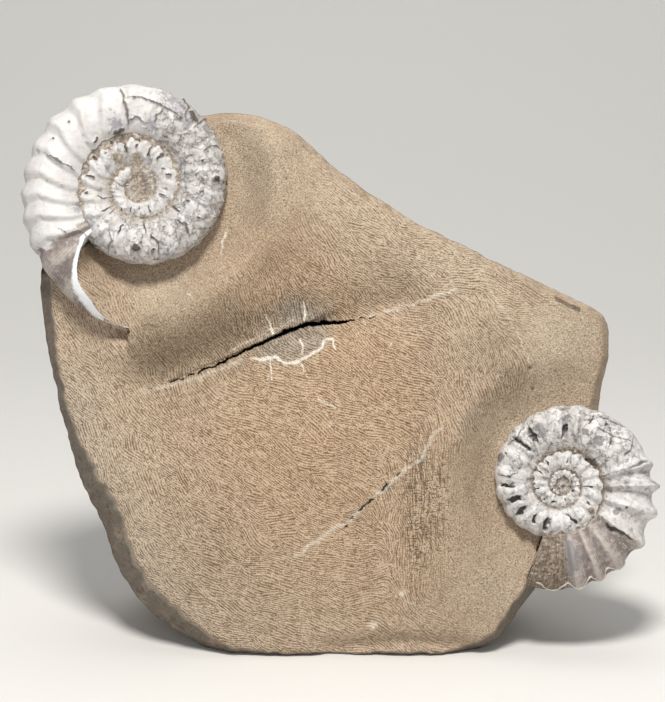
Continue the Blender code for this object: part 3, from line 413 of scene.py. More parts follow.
SMALL_MARKS = Marks(
    cracks=(
        # The first line is a painted shadow along a groove, cut in a little
        (((7.5, 1.3), (12.4, 2.9), (15.6, 4.6)), 0.30, 0.5),
        (((7.0, 10.5), (10.0, 8.6), (13.0, 8.0)), 0.15, 0.25),
        (((4.0, 12.0), (8.0, 12.5), (11.5, 11.0)), 0.13, 0.2),
        (((8.6, 6.4), (9.4, 8.8), (8.8, 10.8)), 0.13, 0.2),
        (((11.6, 5.0), (13.0, 6.6), (13.4, 9.0)), 0.13, 0.2),
        (((-10.6, 7.4), (-8.4, 8.8), (-7.4, 10.6)), 0.13, 0.2),
        (((-12.2, 2.0), (-9.8, 1.2), (-8.6, 2.2)), 0.13, 0.2),
    ),
    slots=(
        (((-11.9, -0.2), (-8.6, -0.4)), 0.28, 0.7),
        (((-10.5, -3.3), (-7.7, -2.5)), 0.36, 0.8),
        (((-9.1, -6.2), (-6.5, -4.2)), 0.42, 0.8),
        (((-5.5, -7.5), (-4.8, -5.6)), 0.30, 0.7),
        (((-3.4, -9.0), (-2.4, -6.2)), 0.42, 0.7),
        (((-9.4, 8.7), (-5.8, 6.2)), 0.42, 0.8),
        (((-6.7, 11.0), (-4.6, 7.7)), 0.40, 0.9),
        (((0.9, 11.4), (0.2, 8.8)), 0.42, 0.9),
        (((5.8, 13.0), (4.9, 11.2)), 0.22, 0.5),
        (((-3.1, 4.8), (-2.5, 3.5)), 0.17, 0.4),
        (((1.1, 5.0), (0.9, 3.8)), 0.18, 0.4),
        (((1.0, -5.4), (2.9, -7.8)), 0.26, 0.6),
        (((4.1, -0.3), (5.8, -0.6)), 0.18, 0.3),
        (((4.1, 5.1), (6.7, 3.2)), 0.36, 0.4),
        # A painted shadow along a groove, cut in a little
        (((7.8, -7.8), (12.6, -10.3)), 0.40, 0.5),
        (((-5.8, -1.0), (-4.4, -0.8)), 0.16, 0.3),
        (((-4.6, 2.6), (-3.5, 1.9)), 0.16, 0.3),
        (((4.4, -3.0), (5.6, -4.0)), 0.18, 0.3),
    ),
    pits=(
        (0.3, 1.6, 0.22, 0.4), (1.7, 0.4, 0.2, 0.4), (1.8, -1.1, 0.25, 0.4), (-1.9, -1.0, 0.2, 0.3),
        (-5.2, 0.3, 0.2, 0.3), (-1.5, -3.3, 0.36, 0.4), (0.7, -2.9, 0.36, 0.4), (-3.4, -2.9, 0.25, 0.3),
        (8.4, 11.2, 0.4, 0.3), (16.3, 0.3, 0.3, 0.3), (-10.6, 5.6, 0.3, 0.3), (12.0, -4.6, 0.4, 0.3),
    ),
    slate=(
        (-11.6, 5.0, 0.9, 0.9), (-4.0, 9.8, 1.5, 0.9), (0.9, 12.3, 1.0, 0.9), (4.4, 9.8, 0.7, 0.8),
        (6.9, 8.2, 1.1, 0.9), (8.9, -0.8, 0.9, 0.8), (12.0, 0.2, 0.7, 0.6), (10.2, -5.2, 0.9, 0.7),
        (1.3, -14.6, 2.2, 0.9), (0.9, -12.2, 1.5, 0.8), (-9.0, -4.6, 0.8, 0.4), (6.4, -10.8, 1.6, 0.4),
    ),
    earth=(
        (7.6, 4.0, 1.0, 0.3), (11.4, 9.2, 2.2, 0.22), (14.8, -2.4, 1.8, 0.35), (0.4, -0.2, 2.0, 0.2),
        (11.3, -0.6, 1.4, 0.42), (12.8, -6.6, 1.5, 0.42), (9.2, -9.4, 1.3, 0.35), (8.2, -2.6, 0.8, 0.5),
        (5.4, -4.9, 0.8, 0.8), (-7.5, 3.6, 1.0, 0.25),
    ),
)

# Density of the meshes, millimetres and counts
FACE_PITCH = 0.50
SIDE_PITCH = 0.80
BACK_PITCH = 1.05
FINER_BESIDE_LINES = 1.1       # how far beside the lines of the face its mesh is halved
FINER_BESIDE_CRACK = 1.0
STEPS_A_TURN = 570
ROWS_FRONT = (18, 30, 54)
ROWS_BACK = (5, 8, 14)
ROWS_RIM = 24


def linear(code):
    """An sRGB hex colour as linear red, green, blue and alpha."""
    parts = [int(code[i:i + 2], 16) / 255.0 for i in (1, 3, 5)]
    return tuple(c / 12.92 if c <= 0.04045 else ((c + 0.055) / 1.055) ** 2.4 for c in parts) + (1.0,)


def shown(sockets, key):
    """A node's socket in use, by its name or its place among those in use."""
    used = [socket for socket in sockets if socket.enabled]
    return used[key] if isinstance(key, int) else next(s for s in used if s.name == key)


def add(tree, kind, inputs=(), **settings):
    """Add a node. Inputs, in order or by name, are values or the nodes or sockets that feed them:
    a list of them for a socket that takes several."""
    made = tree.nodes.new(kind if "Node" in kind else "ShaderNode" + kind)
    for name, value in settings.items():
        setattr(made, name, value)
    for key, value in inputs.items() if isinstance(inputs, dict) else enumerate(inputs):
        socket = shown(made.inputs, key)
        for feed in value if isinstance(value, list) else [value]:
            if isinstance(feed, bpy.types.Node):
                feed = shown(feed.outputs, 0)
            if isinstance(feed, bpy.types.NodeSocket):
                tree.links.new(feed, socket)
            else:
                socket.default_value = feed
    return made


def weighed(tree, *parts):
    """Several masks in one: their sum, each times its weight."""
    total = 0.0
    for value, weight in parts:
        total = add(tree, "Math", (value, weight, total), operation="MULTIPLY_ADD")
    return total


def coat(tree, below, code, mask, low=0.0, high=1.0, share=1.0):
    """Lay a colour over the ones below it, where a mask rises from low to high."""
    reach = add(tree, "MapRange", (mask, low, high, 0.0, share), interpolation_type="SMOOTHSTEP")
    top = linear(code) if isinstance(code, str) else code
    return add(tree, "Mix", {"Factor": reach, "A": below, "B": top}, data_type="RGBA")


def face_to_world(points):
    """Turn (across, up, out) in millimetres into world metres."""
    across, up, out = np.asarray(points, float).T
    lean = math.radians(FACE_LEAN)
    y = FOOT_Y + up * math.sin(lean) - out * math.cos(lean)
    z = up * math.cos(lean) + out * math.sin(lean)
    return np.stack([across, y, z], axis=1) * MM


def soft_step(x):
    x = np.clip(x, 0.0, 1.0)
    return x * x * (3.0 - 2.0 * x)


def read_off(table, key):
    """Value of a table of (key, value) pairs at a key, or at each of many."""
    return np.interp(key, *np.asarray(table, float).T)


def away_from(points, x, y):
    return np.hypot(points[:, 0] - x, points[:, 1] - y)


def closed_curve(points, steps_a_span=20):
    """A smooth closed curve through points, as a dense polyline with its share of length."""
    p = np.asarray(points, float)
    t = np.linspace(0.0, 1.0, steps_a_span, endpoint=False)[:, None]
    spans = []
    for i in range(len(p)):
        a, b, c, d = p[i - 1], p[i], p[(i + 1) % len(p)], p[(i + 2) % len(p)]
        spans.append(0.5 * (2 * b + (c - a) * t + (2 * a - 5 * b + 4 * c - d) * t**2
                            + (3 * b - a - 3 * c + d) * t**3))
    curve = np.concatenate(spans + [p[:1]])
    length = np.cumsum(np.linalg.norm(np.diff(curve[:, :2], axis=0), axis=1))
    return curve, np.concatenate([[0.0], length / length[-1]]), length[-1]


def line_distance(points, line):
    """Distance from each point to a polyline, and the share of its length passed there."""
    p = np.asarray(points, float)
    line = np.asarray(line, float)
    lengths = np.linalg.norm(np.diff(line, axis=0), axis=1)
    best = np.full(len(p), np.inf)
    along = np.zeros(len(p))
    start = 0.0
    for a, b, length in zip(line[:-1], line[1:], lengths):
        t = np.clip((p - a) @ (b - a) / length**2, 0.0, 1.0)
        d = np.linalg.norm(p - (a + t[:, None] * (b - a)), axis=1)
        along = np.where(d < best, start + t * length, along)
        best = np.minimum(best, d)
        start += length
    return best, along / start


def side_of_line(points, line):
    """Distance beyond a polyline, positive on its right-hand side."""
    p = np.asarray(points, float)
    a, b = np.asarray(line[0]), np.asarray(line[-1])
    ahead = (b - a) / np.linalg.norm(b - a)
    return (p - a) @ np.array([ahead[1], -ahead[0]])


def uneven(points, size, seed, octaves=1):
    """Smooth unevenness of a given size at places, about -1 to 1."""
    shift = Vector((seed * 17.3, seed * 5.1, seed * 9.7))
    flat = np.asarray(points, float) / size
    if flat.shape[1] == 2:
        flat = np.column_stack([flat, np.zeros(len(flat))])
    if octaves == 1:
        return np.array([noise.noise(Vector(p) + shift) for p in flat])
    return np.array([noise.fractal(Vector(p) + shift, 0.8, 2.1, octaves) for p in flat])


def chip(curve):
    """Take small chips out of the outline and make its bevel uneven."""
    away = curve[:, :2] - np.asarray(HUB)
    place = curve[:, :2].copy()
    inward = EDGE_CHIPS * np.abs(uneven(place, 2.5, 31)) + EDGE_WAVES * (1.0 + uneven(place, 6.0, 32))
    curve[:, :2] -= away / np.linalg.norm(away, axis=1)[:, None] * inward[:, None]
    varied = 1.0
    for size, seed, swing in BEVEL_WAVES:
        varied = varied + swing * uneven(place, size, seed)
    curve[:, 2] *= varied
    return curve


OUTLINE_CURVE, OUTLINE_SHARE, OUTLINE_LENGTH = closed_curve(OUTLINE)
OUTLINE_CURVE = chip(OUTLINE_CURVE)


def patches(points, spots):
    """Sum of soft round patches: (across, up, radius, strength)."""
    total = np.zeros(len(points))
    for x, y, radius, strength in spots:
        total += strength * np.exp(-(away_from(points, x, y) / radius) ** 2)
    return total


def radius_at(shell, growth):
    """Outer radius of the coil, which grows by a share of itself."""
    key, radius = np.asarray(shell.growth, float).T
    return np.exp(np.interp(growth, key, np.log(radius)))


def whole_until(shell):
    """Growth at which the coil ends, or at which its broken lip starts."""
    return shell.lip[0][0] if shell.lip else shell.past


def growth_at(shell, direction):
    """Growth of the last whole turn in a direction, before its end or its broken lip."""
    last = whole_until(shell)
    turned = shell.sense * (np.asarray(direction, float) - shell.end)
    return last - np.mod(last - turned, 360.0)


def shell_axes(shell):
    """The coil's own axes in face terms: two in its plane and one towards the viewer."""
    way = math.radians(shell.lean_to)
    lean = math.radians(shell.lean)
    near = np.array([math.cos(way) * math.cos(lean), math.sin(way) * math.cos(lean), math.sin(lean)])
    out = np.array([-math.cos(way) * math.sin(lean), -math.sin(way) * math.sin(lean), math.cos(lean)])
    beside = np.cross(out, near)
    first = near * math.cos(way) - beside * math.sin(way)
    second = near * math.sin(way) + beside * math.cos(way)
    return first, second, out


def coil_edge(shell, radius, direction):
    """Outer radius of the coil in a direction, and the stone's height against it."""
    keys, heights = np.asarray(shell.collar, float).T
    across = radius * np.cos(np.radians(direction))
    up = radius * np.sin(np.radians(direction))
    _, _, out = shell_axes(shell)
    plane = shell.centre[2] - (across * out[0] + up * out[1]) / out[2]
    height = np.interp(direction, keys, heights, period=360.0) + plane
    return radius_at(shell, growth_at(shell, direction)), height, plane


def polar_round(shell, points):
    """Distance and direction of places on the face from the middle of a coil."""
    p = np.asarray(points, float)[:, :2] - np.asarray(shell.centre[:2])
    return np.linalg.norm(p, axis=1), np.degrees(np.arctan2(p[:, 1], p[:, 0]))


def stone_beside(shell, points, land):
    """The face's height, drawn towards the collar of a coil close to it."""
    radius, direction = polar_round(shell, points)
    edge, collar, plane = coil_edge(shell, radius, direction)
    collar = collar - UNDER_COIL * soft_step((edge - UNDER_START - radius) / UNDER_REACH)
    bank = edge + COLLAR_REACH
    bank_height = land
    if shell.lip:
        bank, bank_height = stone_beside_lip(shell, radius, direction, bank, plane, land)
    share = np.clip((radius - edge) / np.maximum(bank - edge, NARROWEST_BANK), 0.0, 1.0)
    rise = soft_step(share)
    return collar * (1.0 - rise) + bank_height * rise


def stone_beside_lip(shell, radius, direction, bank, plane, land):
    """Where the bank inside a broken lip ends, and the stone's height there and outside it."""
    growth = np.mod(shell.sense * (direction - shell.end) + 180.0, 360.0) - 180.0
    lip = read_off(shell.lip, growth)
    start = shell.lip[0][0]
    past = soft_step(growth / TIP_FADE)
    within = growth > start
    bank = np.where(within & (past < 1.0), lip * (1.0 - past) + bank * past, bank)
    along = np.clip((growth - start) / -start, 0.0, 1.0)
    crest = plane + read_off(LIP_CREST, along)
    over = np.where(within & (radius < lip + GAP), 1.0 - past, 0.0)
    height = crest * over + land * (1.0 - over)
    outside = within & (growth < 0.0) & (radius >= lip + GAP)
    settle = 1.0 - soft_step((radius - radius_at(shell, growth)) / LIP_SETTLE)
    return bank, np.where(outside, (plane + LIP_FOOT) * settle + land * (1.0 - settle), height)


def face_height(points):
    """Height of the stone's face, without the bevel along its edge."""
    p = np.asarray(points, float)[:, :2]
    height = np.zeros(len(p))
    for line, width, rise in LAND:
        height += rise * np.exp(-(line_distance(p, line)[0] / width) ** 2)
    beyond = np.maximum(side_of_line(p, FALL_LINE), 0.0)
    height -= FALL_SLOPE * (np.hypot(beyond, FALL_ROUNDING) - FALL_ROUNDING)
    for shell in (LARGE, SMALL):
        height = stone_beside(shell, p, height)
    return height


def back_depth(across, up):
    """Distance behind the face plane at which the broken back lies."""
    lean = math.radians(FACE_LEAN)
    base = np.stack([across, FOOT_Y + up * math.sin(lean), up * math.cos(lean)], axis=1)
    ray = np.array([0.0, math.cos(lean), -math.sin(lean)])
    nearness = np.zeros(len(base))
    for place, way in BACK_PLANES:
        way = np.asarray(way) / np.linalg.norm(way)
        reach = ((np.asarray(place) - base) @ way) / (ray @ way)
        nearness += np.exp(-reach / BACK_ROUNDING)
    return np.maximum(-BACK_ROUNDING * np.log(nearness), LEAST_DEPTH)


def ring_on_outline(count):
    """A ring of places on the outline, with the bevel width and the distance from the hub."""
    share = (np.arange(count) + 0.5) / count
    edge = np.stack([np.interp(share, OUTLINE_SHARE, OUTLINE_CURVE[:, i]) for i in range(3)], 1)
    return edge[:, :2], edge[:, 2], np.linalg.norm(edge[:, :2] - np.asarray(HUB), axis=1)


def stone_rings(face_pitch, side_pitch, back_pitch):
    """Rings of (across, up, out, zone): zone 1 on the face, 0 to 1 on the bevel, -1 behind."""
    hub = np.asarray(HUB)
    rings = [np.array([[*hub, 0.0, 1.0]])]
    reach = np.linalg.norm(np.asarray(OUTLINE)[:, :2] - hub, axis=1).mean()
    face_rings = int(reach / face_pitch)
    for i in range(1, face_rings + 1):
        inward = i / face_rings
        edge, bevel, span = ring_on_outline(max(FEWEST_A_RING, int(OUTLINE_LENGTH * inward / face_pitch)))
        place = hub + (edge - hub) * ((1.0 - bevel / span) * inward)[:, None]
        rings.append(np.column_stack([place, np.zeros(len(place)), np.ones(len(place))]))
    for i in range(1, BEVEL_RINGS + 1):
        share = i / BEVEL_RINGS
        fall = share + BEVEL_BOW * (share * share - share)
        pitch = face_pitch + (side_pitch - face_pitch) * share
        edge, bevel, span = ring_on_outline(int(OUTLINE_LENGTH / pitch))
        crest = hub + (edge - hub) * (1.0 - bevel / span)[:, None]
        front = face_height(crest) - (BEVEL_DROP + BEVEL_STEEPNESS * bevel) * fall
        place = crest + (edge - crest) * share
        rings.append(np.column_stack([place, front, np.full(len(place), 1.0 - share)]))
    side_rings = int(SIDE_LENGTH / side_pitch)
    for i in range(1, side_rings + 1):
        share = SIDE_END * i / side_rings
        pull = read_off(SIDE_PULL, share)
        place = hub + (edge - hub) * (1.0 - pull)
        back = -back_depth(*place.T)
        rings.append(np.column_stack([place, front + (back - front) * share, np.full(len(place), -1.0)]))
    back_rings = int(reach * BACK_START / back_pitch)
    for i in range(back_rings):
        share = BACK_START * (1.0 - i / back_rings)
        edge, _, _ = ring_on_outline(max(FEWEST_A_RING, int(OUTLINE_LENGTH * share / back_pitch)))
        place = hub + (edge - hub) * share
        rings.append(np.column_stack([place, -back_depth(*place.T), np.full(len(place), -2.0)]))
    rings.append(np.array([[*hub, -back_depth(hub[:1], hub[1:])[0], -2.0]]))
    return rings


def stitch_rings(first, second):
    """Triangles between two closed rings of points, given as lists of indices."""
    if len(first) == 1:
        return [(first[0], second[i - 1], second[i]) for i in range(len(second))]
    if len(second) == 1:
        return [(first[i], first[i - 1], second[0]) for i in range(len(first))]
    faces = []
    i = j = 0
    while i < len(first) or j < len(second):
        a, b = first[i % len(first)], second[j % len(second)]
        if j >= len(second) or (i < len(first) and (i + 1) / len(first) <= (j + 1) / len(second)):
            faces.append((a, b, first[(i + 1) % len(first)]))
            i += 1
        else:
            faces.append((a, b, second[(j + 1) % len(second)]))
            j += 1
    return faces


def refine(mesh, lines, reach):
    """Halve the mesh's edges where they lie within reach of any of the lines on the face."""
    co = np.empty(len(mesh.vertices) * 3)
    mesh.vertices.foreach_get("co", co)
    co = co.reshape(-1, 3)
    near = np.full(len(co), np.inf)
    for line in lines:
        near = np.minimum(near, line_distance(co[:, :2], line)[0])
    zone = np.empty(len(co))
    mesh.attributes["zone"].data.foreach_get("value", zone)
    chosen = (near < reach) & (zone > 0.5)
    solid = bmesh.new()
    solid.from_mesh(mesh)
    edges = [e for e in solid.edges if chosen[e.verts[0].index] and chosen[e.verts[1].index]]
    bmesh.ops.subdivide_edges(solid, edges=edges, cuts=1, use_grid_fill=True)
    bmesh.ops.triangulate(solid, faces=[f for f in solid.faces if len(f.verts) > 3])
    solid.to_mesh(mesh)
    solid.free()


def set_attribute(mesh, name, values, kind="FLOAT"):
    found = mesh.attributes.get(name) or mesh.attributes.new(name, kind, "POINT")
    field = "value" if kind == "FLOAT" else "vector"
    found.data.foreach_set(field, np.ascontiguousarray(values, np.float32).ravel())


def stroke_angle(points):
    """Way of the tool strokes on the face, between the places where it is known."""
    p = points[:, :2]
    weight = np.zeros(len(p))
    total = np.zeros(len(p))
    for x, y, angle in STROKES:
        w = 1.0 / ((p[:, 0] - x) ** 2 + (p[:, 1] - y) ** 2 + 2.0) ** 3
        weight += w
        total += w * angle
    return total / weight


def hatched(points):
    """Share to which the upright cuts of the tool show."""
    total = np.zeros(len(points))
    for x, y, wide, high in HATCHED:
        total += np.exp(-((points[:, 0] - x) / wide) ** 2 - ((points[:, 1] - y) / high) ** 2)
    return np.clip(total, 0.0, 1.0)


def open_crack(p, ragged, on_face):
    """The crack at places on the face: how its banks swell, how deep it is and how open."""
    away, along = line_distance(ragged, CRACK)
    width = read_off(CRACK_WIDTH, along)
    start, wall = CRACK_WALLS
    opened = 1.0 - soft_step((away - start * width) / (wall * width))
    above = side_of_line(p, (CRACK[0], CRACK[6])) < 0.0
    bank = np.exp(-(away / BANK_REACH) ** 2) * read_off(CRACK_BANK, along)
    sag = np.exp(-(away / LENS_REACH) ** 2) * read_off(LENS_SAG, along)
    whole = (along > CRACK_WHOLE[0]) & (along < CRACK_WHOLE[1])
    opened *= np.where(whole, 1.0, soft_step(uneven(p, 1.1, 9) * 3.0 + 0.5))
    return np.where(above, bank, -sag), read_off(CRACK_DEPTH, along) * opened * on_face, opened


def fill_with_calcite(ragged):
    """How much white calcite lies at places, in veins, scratches and spots."""
    calcite = np.zeros(len(ragged))
    for line, half, strength in CALCITE:
        distance, share = line_distance(ragged, line)
        ends = soft_step(np.minimum(share, 1.0 - share) * 8.0 + 0.35)
        calcite = np.maximum(calcite, strength * ends * np.exp(-(distance / half) ** 2))
    for x, y, radius, strength in SPOTS:
        calcite = np.maximum(calcite, strength * np.exp(-(away_from(ragged, x, y) / radius) ** 4))
    return calcite


def stone_detail(place, zone):
    """Fine shape of the stone and the masks that its finish reads."""
    p = place[:, :2]
    on_face = np.clip(zone, 0.0, 1.0)
    out = np.where(zone > 0.99, face_height(p), place[:, 2])
    ragged = p
    for size, seed, swing in RAGGED:
        ragged = ragged + np.column_stack([uneven(p, size, seed), uneven(p, size, seed + 1)]) * swing

    swell, deep, opened = open_crack(p, ragged, on_face)
    out = out + swell
    out -= deep
    slit_away, _ = line_distance(ragged, SLITS)
    broken = soft_step((uneven(p, 1.8, 5) + 0.15) * 3.0)
    slit = (1.0 - soft_step((slit_away - SLIT_HALF) / SLIT_WALL)) * broken
    out -= SLIT_DEPTH * slit * on_face
    calcite = fill_with_calcite(ragged) * on_face
    out += CALCITE_RISE * calcite
    pit = np.zeros(len(p))
    for x, y, radius in PITS:
        pit = np.maximum(pit, np.exp(-(away_from(ragged, x, y) / radius) ** 2))
    out -= PIT_DEPTH * pit * on_face

    angle = np.radians(stroke_angle(p))
    along_stroke = p[:, 0] * np.cos(angle) + p[:, 1] * np.sin(angle)
    across_stroke = -p[:, 0] * np.sin(angle) + p[:, 1] * np.cos(angle)
    waves = COMBED_HEIGHT * uneven(np.column_stack([along_stroke / 4.0, across_stroke]), 1.4, 6)
    for size, seed, height in FACE_WAVES:
        waves = waves + height * uneven(p, size, seed)
    out += on_face * waves

    beside = (zone < 0.99) & (zone > -0.01)
    rough = sum(height * uneven(place, size, seed, octaves) for size, seed, height, octaves in BROKEN_EDGE)
    out += np.where(beside, 4.0 * zone * (1.0 - zone) * rough, 0.0)
    place[:, 2] = out
    # Near-black painted shadow inside the open crack, the slits and the pits
    stain = np.maximum.reduce([opened, 0.8 * slit, 0.7 * pit])
    return place, {"stained": stain * on_face, "calcite": calcite, "stroke_angle": angle}


def stone_masks(p, zone):
    """Where each part of the stone's finish shows."""
    face = np.clip(zone, 0.0, 1.0)
    nearness = np.zeros(len(p))
    start, reach = SHELL_STIPPLE
    for shell in (LARGE, SMALL):
        radius, direction = polar_round(shell, p)
        edge = radius_at(shell, growth_at(shell, direction))
        nearness = np.maximum(nearness, 1.0 - soft_step((radius - edge - start) / reach))
    from_hub = p - np.asarray(HUB)
    toward = from_hub @ np.asarray(PAINTED_LIGHT_SIDE) / np.maximum(np.linalg.norm(from_hub, axis=1), 1.0)
    # Painted light on the bevels of the edges that face the light
    painted_light_edge = soft_step(toward * 3.0) * (zone >= 0.0)
    dressed = soft_step((face + 0.05 * uneven(p, 1.2, 35) - 0.78) / 0.18)
    # Painted highlight along the crest of the bevel, and over the bevels that face the light
    crest = np.exp(-((zone - 0.93) / 0.12) ** 2) + 0.8 * painted_light_edge * (1.0 - face)
    crest = crest * (zone < 0.999) * soft_step(uneven(p, 2.5, 38) + 0.8)
    # Painted shade on the rest of the bevel, where it faces away from the light
    facet = (zone >= 0.0) * soft_step((0.97 - zone) / 0.1) * (1.0 - painted_light_edge)
    masks = {
        # The bevels that face the light count as dressed, as painted light: they take the face's colour
        "dressed": np.maximum(dressed, 0.9 * painted_light_edge),
        "edge": np.clip(crest, 0.0, 1.0),
        "facet": facet * soft_step(uneven(p, 2.0, 39) + 0.9),
        "hatched": hatched(p) * face,
        "stippled": np.clip(patches(p, STIPPLED) + nearness, 0.0, 1.0),
    }
    for name, spots in (("warm", WARM), ("shady", PAINTED_SHADE), ("pale", PALE), ("greyed", GREY)):
        masks[name] = np.clip(patches(p, spots), 0.0, 1.0) * face
    return masks


def build_stone_mesh(look):
    """The whole block as one closed mesh in face terms, then carved, cut flat and placed."""
    rings = stone_rings(look.face_pitch, look.side_pitch, look.back_pitch)
    starts = np.cumsum([0] + [len(ring) for ring in rings])
    faces = []
    for i in range(len(rings) - 1):
        faces += stitch_rings(range(starts[i], starts[i + 1]), range(starts[i + 1], starts[i + 2]))
    data = np.concatenate(rings)
    mesh = bpy.data.meshes.new("mudstone_block")
    mesh.from_pydata(data[:, :3].tolist(), [], faces)
    set_attribute(mesh, "zone", data[:, 3])
    lines = [CRACK, SLITS] + [line for line, _, _ in CALCITE]
    refine(mesh, lines, FINER_BESIDE_LINES)
    refine(mesh, [CRACK[1:]], FINER_BESIDE_CRACK)

    co = np.empty(len(mesh.vertices) * 3)
    mesh.vertices.foreach_get("co", co)
    place = co.reshape(-1, 3)
    zone = np.empty(len(place))
    mesh.attributes["zone"].data.foreach_get("value", zone)
    behind = zone < -0.01
    place = shape_sides(place, zone, behind)
    place, masks = stone_detail(place, zone)
    mesh.vertices.foreach_set("co", face_to_world(place).ravel())
    for name, values in (stone_masks(place[:, :2], zone) | masks).items():
        set_attribute(mesh, name, values)
    cut_flat(mesh)
    mesh.shade_smooth()
    return mesh


def shape_sides(place, zone, behind):
    """Broken, lumpy sides and back."""
    hub = np.asarray(HUB)
    bulge = np.zeros(len(place))
    rough = np.zeros(len(place))
    some = place[behind]
    for size, rise, seed in LUMPS:
        bulge[behind] += [noise.noise(Vector(q) / size + Vector((seed, 0.0, 0.0))) * rise for q in some]
    rough[behind] = LEDGE_HEIGHT * uneven(some, 3.0, 11, 3) - NICK_DEPTH * np.abs(uneven(some, 6.0, 12))
    outward = place[:, :2] - hub
    outward /= np.maximum(np.linalg.norm(outward, axis=1), 1.0)[:, None]
    moved = np.minimum(bulge, 0.0) + np.where(zone > -1.5, rough - SIDE_INSET, 0.0) * behind
    place[:, :2] += outward * moved[:, None]
    place[:, 2] -= np.where(zone < -1.5, bulge + rough, 0.0)
    return place


def cut_flat(mesh):
    """Cut the block off at the ground and close it with its flat base."""
    solid = bmesh.new()
    solid.from_mesh(mesh)
    geometry = list(solid.verts) + list(solid.edges) + list(solid.faces)
    cut = bmesh.ops.bisect_plane(solid, geom=geometry, dist=1e-7, plane_co=(0.0, 0.0, 0.0),
                                 plane_no=(0.0, 0.0, 1.0), clear_inner=True)
    rim = [e for e in cut["geom_cut"] if isinstance(e, bmesh.types.BMEdge)]
    base = bmesh.ops.edgeloop_fill(solid, edges=rim)["faces"]
    bmesh.ops.triangulate(solid, faces=base)
    bmesh.ops.recalc_face_normals(solid, faces=solid.faces)
    solid.to_mesh(mesh)
    solid.free()


class CoilStrip:
    """A coil as one closed strip: front, rim, back, and the wall of its broken end.

    A step is one column of points from the inner edge of a turn to its shoulder. The inner
    edge of each turn is the shoulder of the turn within. The rim is laid on the last turn
    only. Past the split the last turn is broken open, and its inner edge is the free lip.
    """

    def __init__(self, shell):
        self.shell = shell
        self.a_turn = STEPS_A_TURN
        self.steps = shell.turns * self.a_turn
        self.growths = np.linspace(-360.0 * shell.turns, 0.0, self.steps + 1) + shell.past
        self.split = self.steps
        if shell.lip:
            self.split = int(np.argmax(self.growths >= shell.lip[0][0]))
        self.bare = self.split - self.a_turn
        self.growth, self.around, self.fixed = [], [], []
        self.count = 0
        self.poles = {side: self.lay(self.growths[0], [180.0 * side], [(0.0, side * POLE_HEIGHT)])
                      for side in (1, -1)}
        self.halves = {1: {}, -1: {}}
        self.rim = {}
        self.wall = {}
        for k in range(self.steps + 1):
            self.lay_step(k)

    def lay(self, growth, around, fixed=None):
        """New points at angles round the section, negative behind. Returns their indices."""
        size = len(around)
        self.growth.append(np.full(size, growth))
        self.around.append(np.asarray(around, float))
        self.fixed.append(np.full((size, 2), np.nan) if fixed is None else np.asarray(fixed, float))
        self.count += size
        return list(range(self.count - size, self.count))

    def lay_step(self, k):
        growth = self.growths[k]
        turn = min(k // self.a_turn, self.shell.turns - 1)
        start, shoulder, lip, crest = FLANK_START, SHOULDER, None, None
        if k > self.split:
            lip = read_off(self.shell.lip, growth)
            radius = radius_at(self.shell, growth)
            share = (lip / radius - TUBE_MIDDLE) / TUBE_REACH
            start = math.degrees(math.acos(max(-1.0, min(WIDEST_OPENING, share))))
            crest = radius * self.shell.half_breadth * abs(math.sin(math.radians(start))) ** OUTER_BOW
            shoulder = min(SHOULDER, 0.5 * start)
        for side, rows in ((1, ROWS_FRONT[turn]), (-1, ROWS_BACK[turn])):
            column = self.halves[side]
            if lip is not None:
                first = self.lay(growth, [side * start], [(lip, side * crest)])
            elif k >= self.a_turn:
                first = [column[k - self.a_turn][-1]]
            else:
                first = self.poles[side]
                start = 180.0
            angles = start + (shoulder - start) * np.arange(1, rows + 1) / rows
            column[k] = first + self.lay(growth, side * angles)
        front, back = self.halves[1][k], self.halves[-1][k]
        across = 1.0 - 2.0 * np.arange(1, ROWS_RIM) / ROWS_RIM
        if k >= self.bare:
            self.rim[k] = [front[-1]] + self.lay(growth, shoulder * across) + [back[-1]]
        if k == self.split:
            self.wall[k] = self.rim[self.bare]
        elif k > self.split:
            fixed = np.column_stack([np.full(len(across), lip), crest * across])
            self.wall[k] = [front[0]] + self.lay(growth, start * across, fixed) + [back[0]]

    def facets(self):
        front, back, rim, wall = self.halves[1], self.halves[-1], self.rim, self.wall
        faces = []
        for k in range(1, self.steps + 1):
            closes_first_turn = k == self.a_turn
            faces += stitch_columns(front[k - 1], (front[0][:-1] if closes_first_turn else []) + front[k])
            faces += stitch_columns((back[0][:-1] if closes_first_turn else []) + back[k], back[k - 1])
            if k > self.bare:
                faces += stitch_columns(rim[k - 1], rim[k])
            if k > self.split:
                faces += stitch_columns(wall[k], wall[k - 1])
        end = self.steps
        return faces + stitch_columns(front[end] + rim[end][1:] + back[end][::-1][1:], wall[end])


def stitch_columns(first, second):
    """Facets between two open columns of indices. Shared points leave no facets."""
    if len(first) == len(second):
        faces = [(first[i], second[i], second[i + 1], first[i + 1]) for i in range(len(first) - 1)]
        return [tuple(dict.fromkeys(f)) for f in faces if len(set(f)) > 2]
    faces = []
    i = j = 0
    while i < len(first) - 1 or j < len(second) - 1:
        ahead_first = (i + 1) / max(len(first) - 1, 1)
        ahead_second = (j + 1) / max(len(second) - 1, 1)
        if j >= len(second) - 1 or (i < len(first) - 1 and ahead_first <= ahead_second):
            faces.append((first[i], second[j], first[i + 1]))
            i += 1
        else:
            faces.append((first[i], second[j], second[j + 1]))
            j += 1
    return [f for f in faces if len(set(f)) == 3]


def draw_lines(spot, lines):
    """How strongly marks in the form of lines show at places, and how deep they are cut there."""
    seen = np.zeros(len(spot))
    cut = np.zeros(len(spot))
    for line, half, depth in lines:
        away, share = line_distance(spot, line)
        taper = 0.35 + 1.3 * np.sqrt(share * (1.0 - share))
        near = np.exp(-(away / (half * taper)) ** 3) * soft_step(np.minimum(share, 1.0 - share) * 6.0 + 0.4)
        seen = np.maximum(seen, near)
        cut = np.maximum(cut, depth * near)
    return seen, cut


